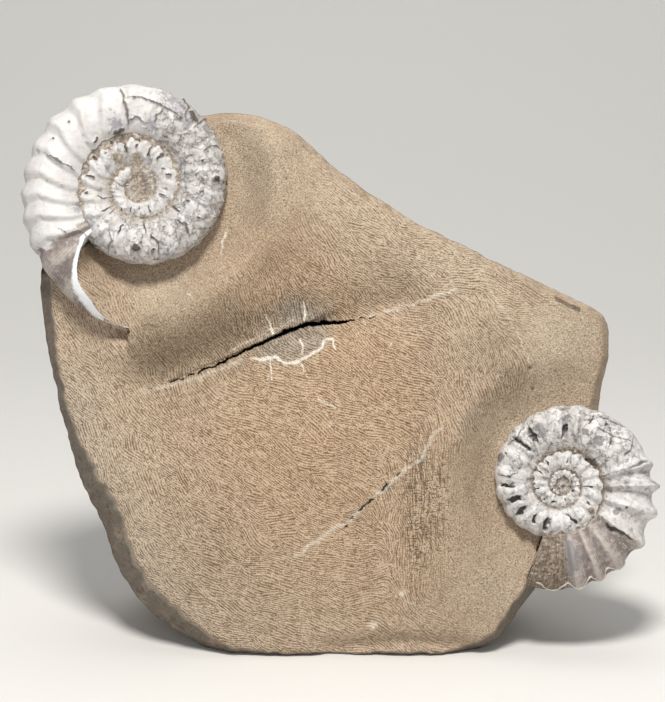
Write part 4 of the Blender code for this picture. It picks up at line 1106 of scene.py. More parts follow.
def number_ribs(shell, growth, steep, worn):
    """The rib that each point lies on, counted along the coil, and how much of its height is left."""
    bend = read_off(shell.rib_bend, steep) * np.minimum(worn, 1.0)
    number = read_off(shell.ribs, growth - bend)
    height = np.random.default_rng(RIB_SEED).uniform(-1.0, 1.0, RIB_NUMBERS)[np.floor(number).astype(int)]
    left = worn * (1.0 + shell.variety * height * np.sin(math.pi * (number % 1.0)))
    lean = shell.rib_lean * np.interp(steep, (20.0, 60.0), (0.0, 1.0))
    return number - lean * (1.0 - np.cos(2.0 * math.pi * number)) / (2.0 * math.pi), left


def draw_edge(shell, growth, steep, spot, number, front):
    """The broken lip of one shell or the winding keel of the other, with a painted highlight along it, and
    the painted shade below the keel.
    """
    if shell.lip:
        from_lip = np.maximum(np.linalg.norm(spot, axis=1) - read_off(shell.lip, growth), 0.0)
        painted_highlight = np.exp(-(from_lip / PAINTED_LIP_HIGHLIGHT) ** 2) * (growth > shell.lip[0][0] - 2.0) * front
        return painted_highlight, 0.0, 0.0
    keel_at = KEEL[0] + KEEL[1] * np.cos(2.0 * math.pi * number)
    open_end = soft_step((growth - KEEL_SPAN[0]) / 10.0) * soft_step((KEEL_SPAN[1] - growth) / 6.0) * front
    painted_highlight = np.exp(-((steep - keel_at) / KEEL_REACH) ** 2) * open_end
    below = open_end * (1.0 - soft_step((steep - keel_at + 5.0) / 8.0))
    return painted_highlight, KEEL_HEIGHT * painted_highlight, PAINTED_SHADE_BELOW_KEEL * below


def draw_marks(shell, marks, growth, around, held, spot, number):
    """How strongly each kind of mark shows at each point, and how deep it is cut there."""
    steep = np.abs(around)
    front = around > MARKS_FROM
    fray = MARK_FRAY * np.column_stack([uneven(spot, 0.9, 21, 2), uneven(spot, 0.9, 22, 2)])
    jitter = spot + fray
    drawn = {}
    for name in ("eroded", "purple", "earthy"):
        drawn[name] = read_off(getattr(shell, name), growth + 4.0 * uneven(spot, 2.0, 24))
    drawn["eroded"][held] = LIP_EROSION
    drawn["earthy"] += patches(jitter, marks.earth) * front
    drawn["slate"] = patches(jitter, marks.slate) * front
    drawn["cracked"], dent = draw_lines(jitter, marks.cracks)
    # Painted shade darkens the slots and the pits, which are also cut in
    dark, cut = draw_lines(spot + SLOT_FRAY * (jitter - spot), marks.slots)
    for x, y, size, depth in marks.pits:
        near = np.exp(-(away_from(jitter, x, y) / size) ** 3)
        dark = np.maximum(dark, near)
        cut = np.maximum(cut, depth * near)
    drawn["dark"] = dark * front
    drawn["cracked"] *= front
    drawn["lip_glow"], raised, below = draw_edge(shell, growth, steep, spot, number, front)
    # The band below the keel takes the sediment's brown as painted shade
    drawn["earthy"] = np.maximum(drawn["earthy"], below)
    drawn["ridge"] = 0.5 - 0.5 * np.cos(2.0 * math.pi * number)
    return drawn, np.maximum(dent, cut) * front - raised


def seam_level(shell, growth, around, spot, flat):
    """Height up to which sediment fills the seam between a turn and the next one out."""
    within = np.where(np.abs(around) > 90.0, growth - 360.0, growth)
    covered = (around > 0.0) & (within < whole_until(shell) - 360.0)
    fill = read_off(shell.seam_fill, within + 360.0) + 0.3 * uneven(spot, 1.1, 23, 2)
    radius = radius_at(shell, within)
    seam = radius * (TUBE_MIDDLE + TUBE_REACH * math.cos(math.radians(SHOULDER)))
    floor = radius * shell.half_breadth * math.sin(math.radians(SHOULDER)) ** OUTER_BOW
    inside = np.maximum(seam - flat, 0.0)
    return np.where(covered, floor + fill - FILL_SLOPE * inside, NO_SEDIMENT)


def coil_guide(shell, marks):
    """The strip of a coil, with what the node tree needs to place each of its points."""
    strip = CoilStrip(shell)
    growth, around, fixed = [np.concatenate(part) for part in (strip.growth, strip.around, strip.fixed)]
    worn, keen, scallop = [read_off(table, growth) for table in (shell.worn, shell.keen, shell.scallop)]
    radius = radius_at(shell, growth)
    a = np.radians(around)
    steep = np.abs(around)
    held = ~np.isnan(fixed[:, 0])
    bow = np.where(steep > 90.0, INNER_BOW, OUTER_BOW)
    section = np.zeros((len(a), 3))
    section[:, 0] = TUBE_MIDDLE + TUBE_REACH * np.cos(a) - 0.5 * shell.rib_height * scallop
    section[:, 2] = np.sign(a) * shell.half_breadth * np.abs(np.sin(a)) ** bow
    share = read_off(RIB_SHARE, steep)
    swell = np.column_stack([share * np.cos(a) * scallop, np.zeros(len(a)), share * np.sin(a)])
    section[held, 0] = fixed[held, 0] / radius[held]
    section[held, 2] = fixed[held, 1] / radius[held]
    swell[held] = 0.0

    number, left = number_ribs(shell, growth, steep, worn)
    direction = np.radians(shell.end + shell.sense * growth)
    flat = radius * section[:, 0]
    spot = np.column_stack([flat * np.cos(direction), flat * np.sin(direction)])
    drawn, dent = draw_marks(shell, marks, growth, around, held, spot, number)
    mesh = bpy.data.meshes.new(shell.name + "_guide")
    mesh.from_pydata(np.column_stack([spot, radius * section[:, 2]]).tolist(), [], strip.facets())
    for name, values in drawn.items():
        set_attribute(mesh, name, np.clip(values, 0.0, 1.0))
    for name, values in (("growth", growth), ("coil_radius", radius), ("rib_number", number),
                         ("worn", left), ("keen", keen),
                         ("level", seam_level(shell, growth, around, spot, flat)), ("dent", dent)):
        set_attribute(mesh, name, values)
    set_attribute(mesh, "section", section, "FLOAT_VECTOR")
    set_attribute(mesh, "swell", swell, "FLOAT_VECTOR")
    return mesh


GUIDE_NUMBERS = ("coil_radius", "rib_number", "worn", "keen", "level", "dent", "offset")
GUIDE_VECTORS = ("section", "swell")


def coil_tree():
    """Node tree that winds a strip into a coil, raises its ribs, breaks up its worn parts and
    strews grains over the sediment in its seams."""
    tree = bpy.data.node_groups.new("ammonite_coil", "GeometryNodeTree")
    tree.interface.new_socket(name="Strip", in_out="INPUT", socket_type="NodeSocketGeometry")
    for name, default in (
        ("Rib Height", 0.03), ("Rib Sharpness", 1.0), ("Sense", 1.0), ("End Direction", 0.0),
        ("Wear Depth", 0.3), ("Wear Grain", 1.2), ("Plate Size", 1.3), ("Line Depth", 0.03),
        ("Grains per Area", 2.0), ("Seed", 0.0),
    ):
        socket = tree.interface.new_socket(name=name, in_out="INPUT", socket_type="NodeSocketFloat")
        socket.default_value = default
    for name, kind in (("Centre", "Vector"), ("Turn", "Rotation"), ("Material", "Material")):
        tree.interface.new_socket(name=name, in_out="INPUT", socket_type="NodeSocket" + kind)
    tree.interface.new_socket(name="Coil", in_out="OUTPUT", socket_type="NodeSocketGeometry")
    given = add(tree, "NodeGroupInput").outputs
    read = {name: add(tree, "GeometryNodeInputNamedAttribute", {"Name": name}, data_type="FLOAT")
            for name in GUIDE_NUMBERS + ("growth", "eroded", "sediment")}
    for name in GUIDE_VECTORS:
        read[name] = add(tree, "GeometryNodeInputNamedAttribute", {"Name": name}, data_type="FLOAT_VECTOR")

    angle = add(tree, "Math", (read["rib_number"], 2.0 * math.pi), operation="MULTIPLY")
    wave = add(tree, "Math", (angle,), operation="COSINE")
    swing = add(tree, "Math", (wave, -0.5, 0.5), operation="MULTIPLY_ADD")
    sharpness = add(tree, "Math", (read["keen"], given["Rib Sharpness"]), operation="MULTIPLY")
    crest = add(tree, "Math", (swing, sharpness), operation="POWER")
    centred = add(tree, "Math", (crest, 0.5), operation="SUBTRACT")
    rise = add(tree, "Math", (centred, read["worn"], 0.5), operation="MULTIPLY_ADD")
    reach = add(tree, "Math", (read["coil_radius"], given["Rib Height"]), operation="MULTIPLY")
    height = add(tree, "Math", (rise, reach), operation="MULTIPLY")
    body = add(tree, "VectorMath", {"Vector": read["section"], "Scale": read["coil_radius"]},
               operation="SCALE")
    ribs = add(tree, "VectorMath", {"Vector": read["swell"], "Scale": height}, operation="SCALE")
    parts = add(tree, "SeparateXYZ", (add(tree, "VectorMath", (body, ribs), operation="ADD"),)).outputs
    filled = add(tree, "Math", (parts["Z"], read["level"], 0.25), operation="SMOOTH_MAX")
    flat = add(tree, "CombineXYZ", {"X": parts["X"], "Z": filled})
    turned = add(tree, "Math", (read["growth"], given["Sense"], given["End Direction"]),
                 operation="MULTIPLY_ADD")
    radians = add(tree, "Math", (turned,), operation="RADIANS")
    place = add(tree, "VectorRotate", {"Vector": flat, "Angle": radians}, rotation_type="Z_AXIS")
    coil = add(tree, "GeometryNodeSetPosition", {"Geometry": given["Strip"], "Position": place})

    where = add(tree, "GeometryNodeInputPosition")
    moved = add(tree, "CombineXYZ", {"Z": given["Seed"]})
    shifted = add(tree, "VectorMath", (where, moved), operation="ADD")
    grain_scale = add(tree, "Math", (1.0, given["Wear Grain"]), operation="DIVIDE")
    broad = add(tree, "TexNoise", {"Vector": shifted, "Scale": grain_scale, "Detail": 4.0, "Roughness": 0.62})
    grains = add(tree, "TexNoise", {"Vector": shifted, "Scale": 1.7, "Detail": 3.0, "Roughness": 0.65})
    warped = add(tree, "VectorMath", (grains.outputs["Color"], (1.6,) * 3, shifted), operation="MULTIPLY_ADD")
    plate_scale = add(tree, "Math", (1.0, given["Plate Size"]), operation="DIVIDE")
    plates = add(tree, "TexVoronoi", {"Vector": warped, "Scale": plate_scale}).outputs["Color"]
    plate = add(tree, "SeparateXYZ", (plates,)).outputs["X"]
    edge = add(tree, "Math", (read["eroded"], 0.22, 0.31), operation="MULTIPLY_ADD")
    ahead = add(tree, "Math", (edge, broad.outputs[0]), operation="SUBTRACT")
    broken = add(tree, "MapRange", (ahead, -0.012, 0.022))
    depth = weighed(tree, (grains.outputs[0], -0.6), (plate, 0.6), (1.0, 0.42))
    worn_away = add(tree, "Math", (broken, depth), operation="MULTIPLY")
    wear = add(tree, "Math", (worn_away, given["Wear Depth"]), operation="MULTIPLY")
    swell = add(tree, "Math", (broad.outputs[0], 0.5), operation="SUBTRACT")
    tilt = add(tree, "Math", (swell, given["Wear Depth"]), operation="MULTIPLY")
    growth_rate = add(tree, "Math", (read["growth"], 0.55), operation="MULTIPLY")
    lines = add(tree, "TexNoise", {"W": growth_rate, "Scale": 1.0, "Detail": 2.0}, noise_dimensions="1D")
    wavy = add(tree, "Math", (lines.outputs[0], 0.5), operation="SUBTRACT")
    line = add(tree, "Math", (wavy, given["Line Depth"]), operation="MULTIPLY")

    sunk = add(tree, "Math", (filled, parts["Z"]), operation="SUBTRACT")
    silt = add(tree, "MapRange", (sunk, 0.03, 0.16))
    open_shell = add(tree, "Math", (1.0, silt), operation="SUBTRACT")
    clods = weighed(tree, (grains.outputs[0], 0.9), (1.0, -0.45))
    gritty = add(tree, "Math", (clods, silt), operation="MULTIPLY")
    change = weighed(tree, (tilt, 1.0), (line, 1.0), (wear, -1.0), (read["dent"], -1.0))
    offset = add(tree, "Math", (change, open_shell, gritty), operation="MULTIPLY_ADD")
    bare = add(tree, "Math", (broken, open_shell), operation="MULTIPLY")
    for name, value in (("sediment", silt), ("broken", bare), ("plate", plate), ("offset", offset)):
        coil = add(tree, "GeometryNodeStoreNamedAttribute", {"Geometry": coil, "Name": name, "Value": value},
                   data_type="FLOAT", domain="POINT")
    normal = add(tree, "GeometryNodeInputNormal")
    push = add(tree, "VectorMath", {"Vector": normal, "Scale": read["offset"]}, operation="SCALE")
    coil = add(tree, "GeometryNodeSetPosition", {"Geometry": coil, "Offset": push})
    coil = add(tree, "GeometryNodeSetShadeSmooth", {"Geometry": coil})

    density = add(tree, "Math", (read["sediment"], given["Grains per Area"]), operation="MULTIPLY")
    points = add(tree, "GeometryNodeDistributePointsOnFaces",
                 {"Mesh": coil, "Density": density, "Seed": 4})
    grain = add(tree, "GeometryNodeMeshIcoSphere", {"Radius": 1.0, "Subdivisions": 1}).outputs["Mesh"]
    grain = add(tree, "GeometryNodeStoreNamedAttribute",
                {"Geometry": grain, "Name": "sediment", "Value": 1.0}, data_type="FLOAT", domain="POINT")
    size = add(tree, "FunctionNodeRandomValue",
               {"Min": (0.07, 0.07, 0.05), "Max": (0.24, 0.2, 0.14), "Seed": 8}, data_type="FLOAT_VECTOR")
    grit = add(tree, "GeometryNodeInstanceOnPoints", {"Points": points, "Instance": grain, "Scale": size})
    joined = add(tree, "GeometryNodeJoinGeometry", ([coil, grit],))
    placed = add(tree, "GeometryNodeTransform", {"Geometry": joined, "Translation": given["Centre"],
                                                 "Rotation": given["Turn"], "Scale": (MM, MM, MM)})
    real = add(tree, "GeometryNodeRealizeInstances", {"Geometry": placed})
    finished = add(tree, "GeometryNodeSetMaterial", {"Geometry": real, "Material": given["Material"]})
    add(tree, "NodeGroupOutput", (finished,))
    return tree


def run_tree(obj, tree, values):
    """Put a node tree on an object, set its inputs by identifier and keep the plain result."""
    modifier = obj.modifiers.new(tree.name, "NODES")
    modifier.node_group = tree
    for socket in tree.interface.items_tree:
        if socket.in_out == "INPUT" and socket.name in values:
            modifier[socket.identifier] = values[socket.name]
    bpy.context.view_layer.update()
    evaluated = obj.evaluated_get(bpy.context.evaluated_depsgraph_get())
    mesh = bpy.data.meshes.new_from_object(evaluated, preserve_all_data_layers=True,
                                           depsgraph=bpy.context.evaluated_depsgraph_get())
    obj.modifiers.remove(modifier)
    old = obj.data
    obj.data = mesh
    bpy.data.meshes.remove(old)
    return obj


def put_in_scene(name, mesh):
    obj = bpy.data.objects.new(name, mesh)
    bpy.context.scene.collection.objects.link(obj)
    return obj


def build_coil(shell, look, marks, material):
    """Wind one shell, and set it where its node is."""
    obj = put_in_scene(shell.name + "_shell", coil_guide(shell, marks))
    origin = face_to_world([(0.0, 0.0, 0.0)])
    world = np.array([face_to_world([axis]) - origin for axis in shell_axes(shell)])[:, 0].T / MM
    run_tree(obj, coil_tree(), {
        "Rib Height": look.rib_height, "Rib Sharpness": look.rib_sharpness, "Sense": float(shell.sense),
        "End Direction": shell.end, "Wear Depth": look.wear_depth, "Wear Grain": look.wear_grain,
        "Plate Size": look.plate_size, "Line Depth": look.line_depth, "Grains per Area": look.grains,
        "Seed": 7.0 * shell.sense, "Centre": face_to_world([shell.centre])[0].tolist(),
        "Turn": Matrix(world.tolist()).to_euler(), "Material": material,
    })
    for name in GUIDE_NUMBERS + GUIDE_VECTORS:
        found = obj.data.attributes.get(name)
        if found:
            obj.data.attributes.remove(found)
    return obj


def new_material(name):
    material = bpy.data.materials.new(name)
    material.use_nodes = True
    return material, material.node_tree, material.node_tree.nodes["Principled BSDF"]


def feed_shader(tree, shader, colour, rough, bump, gloss):
    """Join a finish's colour, roughness and relief to its shader."""
    for name, feed in (("Base Color", shown(colour.outputs, 0)), ("Roughness", rough.outputs[0]),
                       ("Normal", bump.outputs[0])):
        tree.links.new(feed, shader.inputs[name])
    shader.inputs["Specular IOR Level"].default_value = gloss


def face_millimetres(tree):
    """Object coordinates turned to the leaning face, in millimetres."""
    coords = add(tree, "TexCoord")
    return add(tree, "Mapping", {"Vector": coords.outputs["Object"], "Scale": (1.0 / MM,) * 3,
                                 "Rotation": (math.radians(FACE_LEAN), 0.0, 0.0)})


def combed_strokes(tree, place, angle, patch, length, pitch, seed):
    """Marks of an air pen: short grooves side by side, in patches, each patch turned a little.
    It is 1 on the ground between them and 0 at the bottom of a groove."""
    wobble = add(tree, "TexNoise", {"Vector": place, "Scale": 0.11 + 0.02 * seed, "Detail": 1.0})
    bent = add(tree, "VectorMath", (wobble.outputs["Color"], (1.5,) * 3, place), operation="MULTIPLY_ADD")
    cell = add(tree, "TexVoronoi", {"Vector": bent, "Scale": 1.0 / patch})
    local = add(tree, "VectorMath", (bent, cell.outputs["Position"]), operation="SUBTRACT")
    tint = add(tree, "SeparateColor", (cell.outputs["Color"],))
    turn = weighed(tree, (angle, 1.0), (tint, 0.8), (1.0, -0.4))
    along = add(tree, "VectorRotate", {"Vector": local, "Angle": turn}, rotation_type="Y_AXIS")
    apart = add(tree, "VectorMath", (cell.outputs["Color"], (40.0,) * 3, along), operation="MULTIPLY_ADD")
    drawn = {}
    for name, reach, width, detail in (("drift", 3.0, 1.2, 1.0), ("presence", length, 1.1 * pitch, 3.0)):
        narrow = add(tree, "Mapping", {"Vector": apart, "Scale": (1.0 / reach, 0.2, 1.0 / width)})
        drawn[name] = add(tree, "TexNoise",
                          {"Vector": narrow, "Scale": 1.0, "Detail": detail, "Roughness": 0.7})
    across = add(tree, "SeparateXYZ", (along,)).outputs["Z"]
    phase = weighed(tree, (across, 2.0 * math.pi / pitch), (drawn["drift"], 6.0), (tint, 20.0))
    comb = add(tree, "Math", (phase,), operation="SINE")
    groove = weighed(tree, (drawn["presence"], 1.0), (comb, -0.13))
    return add(tree, "MapRange", (groove, 0.40, 0.76, 1.0, 0.0))


# Air-pen strokes: width of a patch of them, their length, and their spacing
FINE_STROKES = (3.6, 1.2, 0.40)
COARSE_STROKES = (5.2, 1.7, 0.50)
DEEP_CUTS = ((0.20, 3.0), (0.85, 0.20))   # width and height of the upright cuts and the level ones
STIPPLE = 0.32
STONE_GLOSS = 0.25
SHELL_GLOSS = 0.35


def stone_material(look):
    """Finish of the block."""
    # Mudstone, dry, matt and brown, dressed with an air pen. The pen leaves fine grooves side by side, so the
    # face looks combed, and pale and stippled round the shells; painted shade darkens the bottoms of the
    # grooves and painted highlight pales the ground between them. Where the stone was left as it broke it is
    # grey-brown and rough, and shows its thin beds.
    material, tree, shader = new_material("dressed_mudstone")
    place = face_millimetres(tree)
    mask = {name: add(tree, "Attribute", attribute_name=name).outputs["Fac"]
            for name in ("stroke_angle", "dressed", "edge", "facet", "hatched", "stippled", "warm", "shady",
                         "pale", "greyed", "calcite", "stained")}
    # Noise by the size of its grain
    cloud = {size: add(tree, "TexNoise", {"Vector": place, "Scale": 1.0 / size, "Detail": detail,
                                          "Roughness": 0.6})
             for size, detail in ((16.0, 2.0), (9.0, 4.0), (4.0, 3.0), (1.4, 6.0), (0.55, 1.0), (0.4, 1.0),
                                  (0.3, 2.0), (0.24, 2.0))}

    fine = combed_strokes(tree, place, mask["stroke_angle"], *FINE_STROKES, 0)
    coarse = combed_strokes(tree, place, mask["stroke_angle"], *COARSE_STROKES, 1)
    kind = add(tree, "MapRange", (cloud[4.0], 0.46, 0.54), interpolation_type="SMOOTHSTEP")
    strokes = add(tree, "Mix", {"Factor": kind, "A": fine, "B": coarse})
    strokes = weighed(tree, (strokes, 0.8), (cloud[0.3], 1.3), (1.0, -0.5))
    for wide, high in DEEP_CUTS:
        dash = add(tree, "Mapping", {"Vector": place, "Scale": (1.0 / wide, 0.2, 1.0 / high)})
        dash = add(tree, "TexNoise", {"Vector": dash, "Scale": 1.0, "Detail": 0.0})
        cut = add(tree, "MapRange", (dash, 0.61, 0.68, 0.0, 1.2), interpolation_type="SMOOTHSTEP")
        cut = add(tree, "Math", (cut, mask["hatched"]), operation="MULTIPLY")
        strokes = add(tree, "Math", (strokes, cut), operation="SUBTRACT")
    dots = add(tree, "TexVoronoi", {"Vector": place, "Scale": 1.0 / STIPPLE})
    stipple = weighed(tree, (dots, 0.7), (cloud[0.24], 1.6), (1.0, -0.45))
    dressing = add(tree, "Mix", {"Factor": mask["stippled"], "A": strokes, "B": stipple})
    flat = add(tree, "Mapping", {"Vector": place, "Rotation": (0.0, math.radians(-6.0), 0.0),
                                 "Scale": (0.10, 0.10, 0.7)})
    bedding = add(tree, "TexNoise", {"Vector": flat, "Scale": 1.0, "Detail": 3.0})
    fracture = weighed(tree, (cloud[1.4], 2.8), (bedding, 0.45), (1.0, -1.0))
    surface = add(tree, "Mix", {"Factor": mask["dressed"], "A": fracture, "B": dressing})
    relief = weighed(tree, (surface, 0.65), (cloud[0.24], 0.35))

    undressed = add(tree, "Math", (1.0, mask["dressed"]), operation="SUBTRACT")
    # Painted shade in the bottoms of the tool grooves and in the crevices of the broken rock, and painted
    # highlight on the ground between the grooves
    hollow = add(tree, "Math", (weighed(tree, (dressing, -1.0), (1.0, 1.0)), mask["dressed"]),
                 operation="MULTIPLY")
    painted_crevice_shade = add(tree, "Math", (weighed(tree, (fracture, -1.0), (1.0, 1.0)), undressed),
                  operation="MULTIPLY")
    raised = add(tree, "Math", (dressing, mask["dressed"]), operation="MULTIPLY")
    grains = weighed(tree, (cloud[0.3], 1.1), (1.0, 0.12))
    white = add(tree, "Math", (grains, mask["calcite"]), operation="MULTIPLY")
    beds = weighed(tree, (bedding, 0.45), (cloud[4.0], 0.25), (cloud[1.4], 0.3))
    side = coat(tree, linear(look.side_dark), look.side, beds, 0.35, 0.66)
    side = coat(tree, side, look.ochre, cloud[9.0], 0.52, 0.68, 0.45)
    colour = coat(tree, linear(look.tan), look.brown, weighed(tree, (cloud[16.0], 0.72), (cloud[4.0], 0.28)),
                  0.33, 0.67)
    for code, shows, low, high, share in (
        (look.warm, mask["warm"], 0.0, 1.0, 0.6),
        # paler tone and painted light
        (look.dust, mask["pale"], 0.0, 1.0, 0.6),
        # painted shade in the valleys and dips
        (look.shade, mask["shady"], 0.0, 1.0, 0.82),
        (side, undressed, 0.0, 1.0, 0.85),
        # painted shade on the bevel
        (look.facet, mask["facet"], 0.0, 1.0, 0.75),
        # painted shade round the crack, grey tone elsewhere
        (look.lens, mask["greyed"], 0.0, 1.0, 0.75),
        # painted highlight along the bevel's crest and over the bevels that face the light
        (look.crest, mask["edge"], 0.0, 1.0, 0.4),
        # painted shade in the crevices and the tool grooves, painted highlight between the grooves
        (look.groove, painted_crevice_shade, 0.35, 1.1, 0.6),
        (look.groove, hollow, 0.0, 1.0, look.painted_groove_shade),
        (look.crest, raised, 0.55, 1.0, look.painted_crest_highlight),
        (look.crest, cloud[0.3], 0.60, 0.74, 0.5),
        (look.groove, cloud[0.4], 0.62, 0.72, 0.55),
        (look.groove, cloud[0.24], 0.60, 0.70, 0.45),
        (look.crest, mask["calcite"], 0.0, 1.0, 0.55),
        (look.calcite, white, 0.12, 0.80, 1.0),
        # painted shadow inside the crack, slits and pits
        (look.stain, mask["stained"], 0.0, 1.0, 1.0),
    ):
        colour = coat(tree, colour, code, shows, low, high, share)
    rough = add(tree, "Math", (white, -0.18, 0.93), operation="MULTIPLY_ADD")
    bump = add(tree, "Bump", {"Height": relief, "Distance": look.stroke_depth * MM, "Strength": 1.0})
    feed_shader(tree, shader, colour, rough, bump, STONE_GLOSS)
    return material


def shell_material(look):
    """Finish of a shell."""
    # Calcite shell, as the air pen freed it. Whole shell is chalk white with a slight sheen and
    # fine growth lines. Worn shell is grey, angular and crumbly, and its blue-grey and
    # purple-grey inner layers show through. Brown sediment stays matt in the seams.
    material, tree, shader = new_material("calcite_shell_" + look.which)
    place = face_millimetres(tree)
    mask = {name: add(tree, "Attribute", attribute_name=name).outputs["Fac"]
            for name in ("growth", "eroded", "broken", "plate", "sediment", "purple", "slate", "earthy",
                         "ridge", "lip_glow", "dark", "cracked")}
    # Noise by the size of its grain
    cloud = {size: add(tree, "TexNoise", {"Vector": place, "Scale": 1.0 / size, "Detail": 3.0,
                                          "Roughness": 0.6})
             for size in (3.0, 1.7, 0.9, 0.6, 0.4, 0.3)}
    rate = add(tree, "Math", (mask["growth"], 1.6), operation="MULTIPLY")
    lines = add(tree, "TexNoise", {"W": rate, "Scale": 1.0, "Detail": 2.0}, noise_dimensions="1D")
    warped = add(tree, "VectorMath", (cloud[1.7].outputs["Color"], (3.2,) * 3, place),
                 operation="MULTIPLY_ADD")
    crazed = add(tree, "TexVoronoi", {"Vector": warped, "Scale": 1.0 / 2.6}, feature="DISTANCE_TO_EDGE")
    seam = add(tree, "MapRange", (crazed, 0.004, 0.04, 1.0, 0.0), interpolation_type="SMOOTHSTEP")
    frail = add(tree, "MapRange", (mask["eroded"], 0.2, 0.6), interpolation_type="SMOOTHSTEP")
    veins = add(tree, "Math", (seam, frail), operation="MULTIPLY")
    # The silt is fibrous, too finely to show here, so it is drawn as clods half a millimetre wide
    crumbs = add(tree, "TexVoronoi", {"Vector": place, "Scale": 1.0 / 0.5})
    tone = add(tree, "SeparateColor", (crumbs.outputs["Color"],)).outputs[0]
    grainy = weighed(tree, (tone, 0.25), (mask["plate"], 0.35), (cloud[0.4], 0.6), (1.0, -0.1))
    rubble = coat(tree, linear(look.hollow), look.grain, grainy, 0.22, 0.46)
    rubble = coat(tree, rubble, look.grey_white, grainy, 0.42, 0.62)
    streaks = weighed(tree, (lines, 0.3), (cloud[0.9], 0.45), (mask["ridge"], 0.22), (1.0, 0.02))
    layer = coat(tree, linear(look.purple), look.purple_light, streaks, 0.36, 0.66)
    clumps = weighed(tree, (cloud[0.6], 0.45), (tone, 0.15), (lines, 0.4))
    earth = coat(tree, linear(look.silt_dark), look.silt, clumps, 0.38, 0.64)
    bright = weighed(tree, (cloud[0.3], 0.7), (tone, 0.3), (mask["sediment"], 0.06))
    earth = coat(tree, earth, look.crumb, bright, 0.64, 0.74, 0.7)
    channel = weighed(tree, (mask["ridge"], -1.0), (1.0, 1.0))
    groove = add(tree, "Math", (channel, mask["eroded"]), operation="MULTIPLY")
    settled = add(tree, "MapRange", (cloud[0.6], 0.20, 0.44, 0.0, 1.0))
    silted = add(tree, "Math", (mask["sediment"], settled), operation="MULTIPLY")
    patchy = weighed(tree, (mask["earthy"], 1.0), (cloud[0.9], 1.1), (1.0, -0.55))
    covered = add(tree, "Math", (add(tree, "MapRange", (patchy, 0.42, 0.70)), silted), operation="MAXIMUM")
    # Painted highlight along the lip and the keel
    painted_highlight_shown = weighed(tree, (mask["lip_glow"], 1.0), (cloud[0.6], 0.6), (1.0, -0.3))
    colour = coat(tree, linear(look.white), look.grey_white, cloud[3.0], 0.35, 0.68)
    for code, shows, low, high, share in (
        (look.grain, lines, 0.50, 0.75, 0.3),
        (layer, weighed(tree, (mask["purple"], 1.0), (cloud[1.7], 0.9), (1.0, -0.45)), 0.30, 0.52, 1.0),
        (look.grain, weighed(tree, (cloud[0.9], 1.0), (mask["eroded"], 0.16)), 0.56, 0.76, 0.5),
        (look.hollow, weighed(tree, (groove, 0.7), (cloud[0.9], 0.6)), 0.50, 1.0, 0.45),
        (look.slate, weighed(tree, (mask["slate"], 1.0), (cloud[0.6], 0.8), (1.0, -0.4)), 0.30, 0.52, 0.85),
        (rubble, mask["broken"], 0.0, 1.0, 0.9),
        (look.hollow, veins, 0.0, 1.0, 0.5),
        (look.hollow, cloud[0.3], 0.66, 0.76, 0.55),
        (earth, covered, 0.0, 1.0, 1.0),
        # painted highlight along the lip and the keel
        (look.lip, painted_highlight_shown, 0.35, 0.75, 1.0),
        # painted shade in the slots and pits
        (look.slot, weighed(tree, (mask["dark"], 0.8), (cloud[0.4], 0.8)), 0.62, 1.1, 1.0),
        (look.crack, mask["cracked"], 0.0, 1.0, 0.85),
    ):
        colour = coat(tree, colour, code, shows, low, high, share)
    loose = add(tree, "Math", (mask["broken"], covered), operation="MAXIMUM")
    rough = add(tree, "Math", (loose, 0.35, look.roughness), operation="MULTIPLY_ADD")
    speckle = weighed(tree, (cloud[0.3], 1.0), (tone, 0.3))
    fine = add(tree, "Math", (speckle, weighed(tree, (loose, 0.9), (1.0, 0.25))), operation="MULTIPLY")
    height = weighed(tree, (fine, 1.0), (lines, 0.14), (veins, -0.6))
    bump = add(tree, "Bump", {"Height": height, "Distance": look.grain_depth * MM, "Strength": 1.0})
    feed_shader(tree, shader, colour, rough, bump, SHELL_GLOSS)
    return material


def colour_text(label, code):
    return bpy.props.StringProperty(name=label, description="sRGB hex colour: " + label.lower(), default=code)


def millimetres(label, size, text):
    return bpy.props.FloatProperty(name=label, description=text + ", in millimetres", default=size, min=0.0)


def share_of(label, value, text):
    return bpy.props.FloatProperty(name=label, description=text, default=value, min=0.0, max=1.0,
                                   subtype="FACTOR")


class FossilStoneLook(bpy.types.PropertyGroup):
    face_pitch: millimetres("Face Pitch", FACE_PITCH, "Spacing of the points on the face")
    side_pitch: millimetres("Side Pitch", SIDE_PITCH, "Spacing of the points on the sides")
    back_pitch: millimetres("Back Pitch", BACK_PITCH, "Spacing of the points on the back")
    stroke_depth: millimetres("Stroke Depth", 0.26, "Depth of the tool strokes")
    # The first sets the painted shade in the tool grooves, the second the painted highlight on the ground
    # between them
    painted_groove_shade: share_of("Groove Tone", 0.72, "How dark the grooves are")
    painted_crest_highlight: share_of("Crest Tone", 0.34, "How pale the crests are")
    tan: colour_text("Tan", "#bba58d")
    brown: colour_text("Brown", "#a9927b")
    warm: colour_text("Warm", "#b38f6a")
    # Pale tone of the face, and painted light where it turns up to the light
    dust: colour_text("Dust", "#cdbda5")
    # Colour of the painted shade in the valleys and dips
    shade: colour_text("Shade", "#7d6a55")
    # Groove: painted shade in the tool grooves and crevices, and dark grains. Crest: painted highlight
    # between the grooves and along the bevel, pale grains, and the rim of the calcite
    groove: colour_text("Groove", "#4e3d2b")
    crest: colour_text("Crest", "#dccdb6")
    side: colour_text("Side", "#978c7f")
    side_dark: colour_text("Side Dark", "#776d62")
    ochre: colour_text("Ochre", "#94764f")
    # Painted shade on the bevel where it faces away from the light
    facet: colour_text("Facet", "#6c645b")
    # Grey of the patches round the crack, there painted shade, and of grey tone elsewhere
    lens: colour_text("Lens", "#857e77")
    calcite: colour_text("Calcite", "#ece6dc")
    # Near-black painted shadow inside the crack, the slits and the pits
    stain: colour_text("Stain", "#0c0a09")


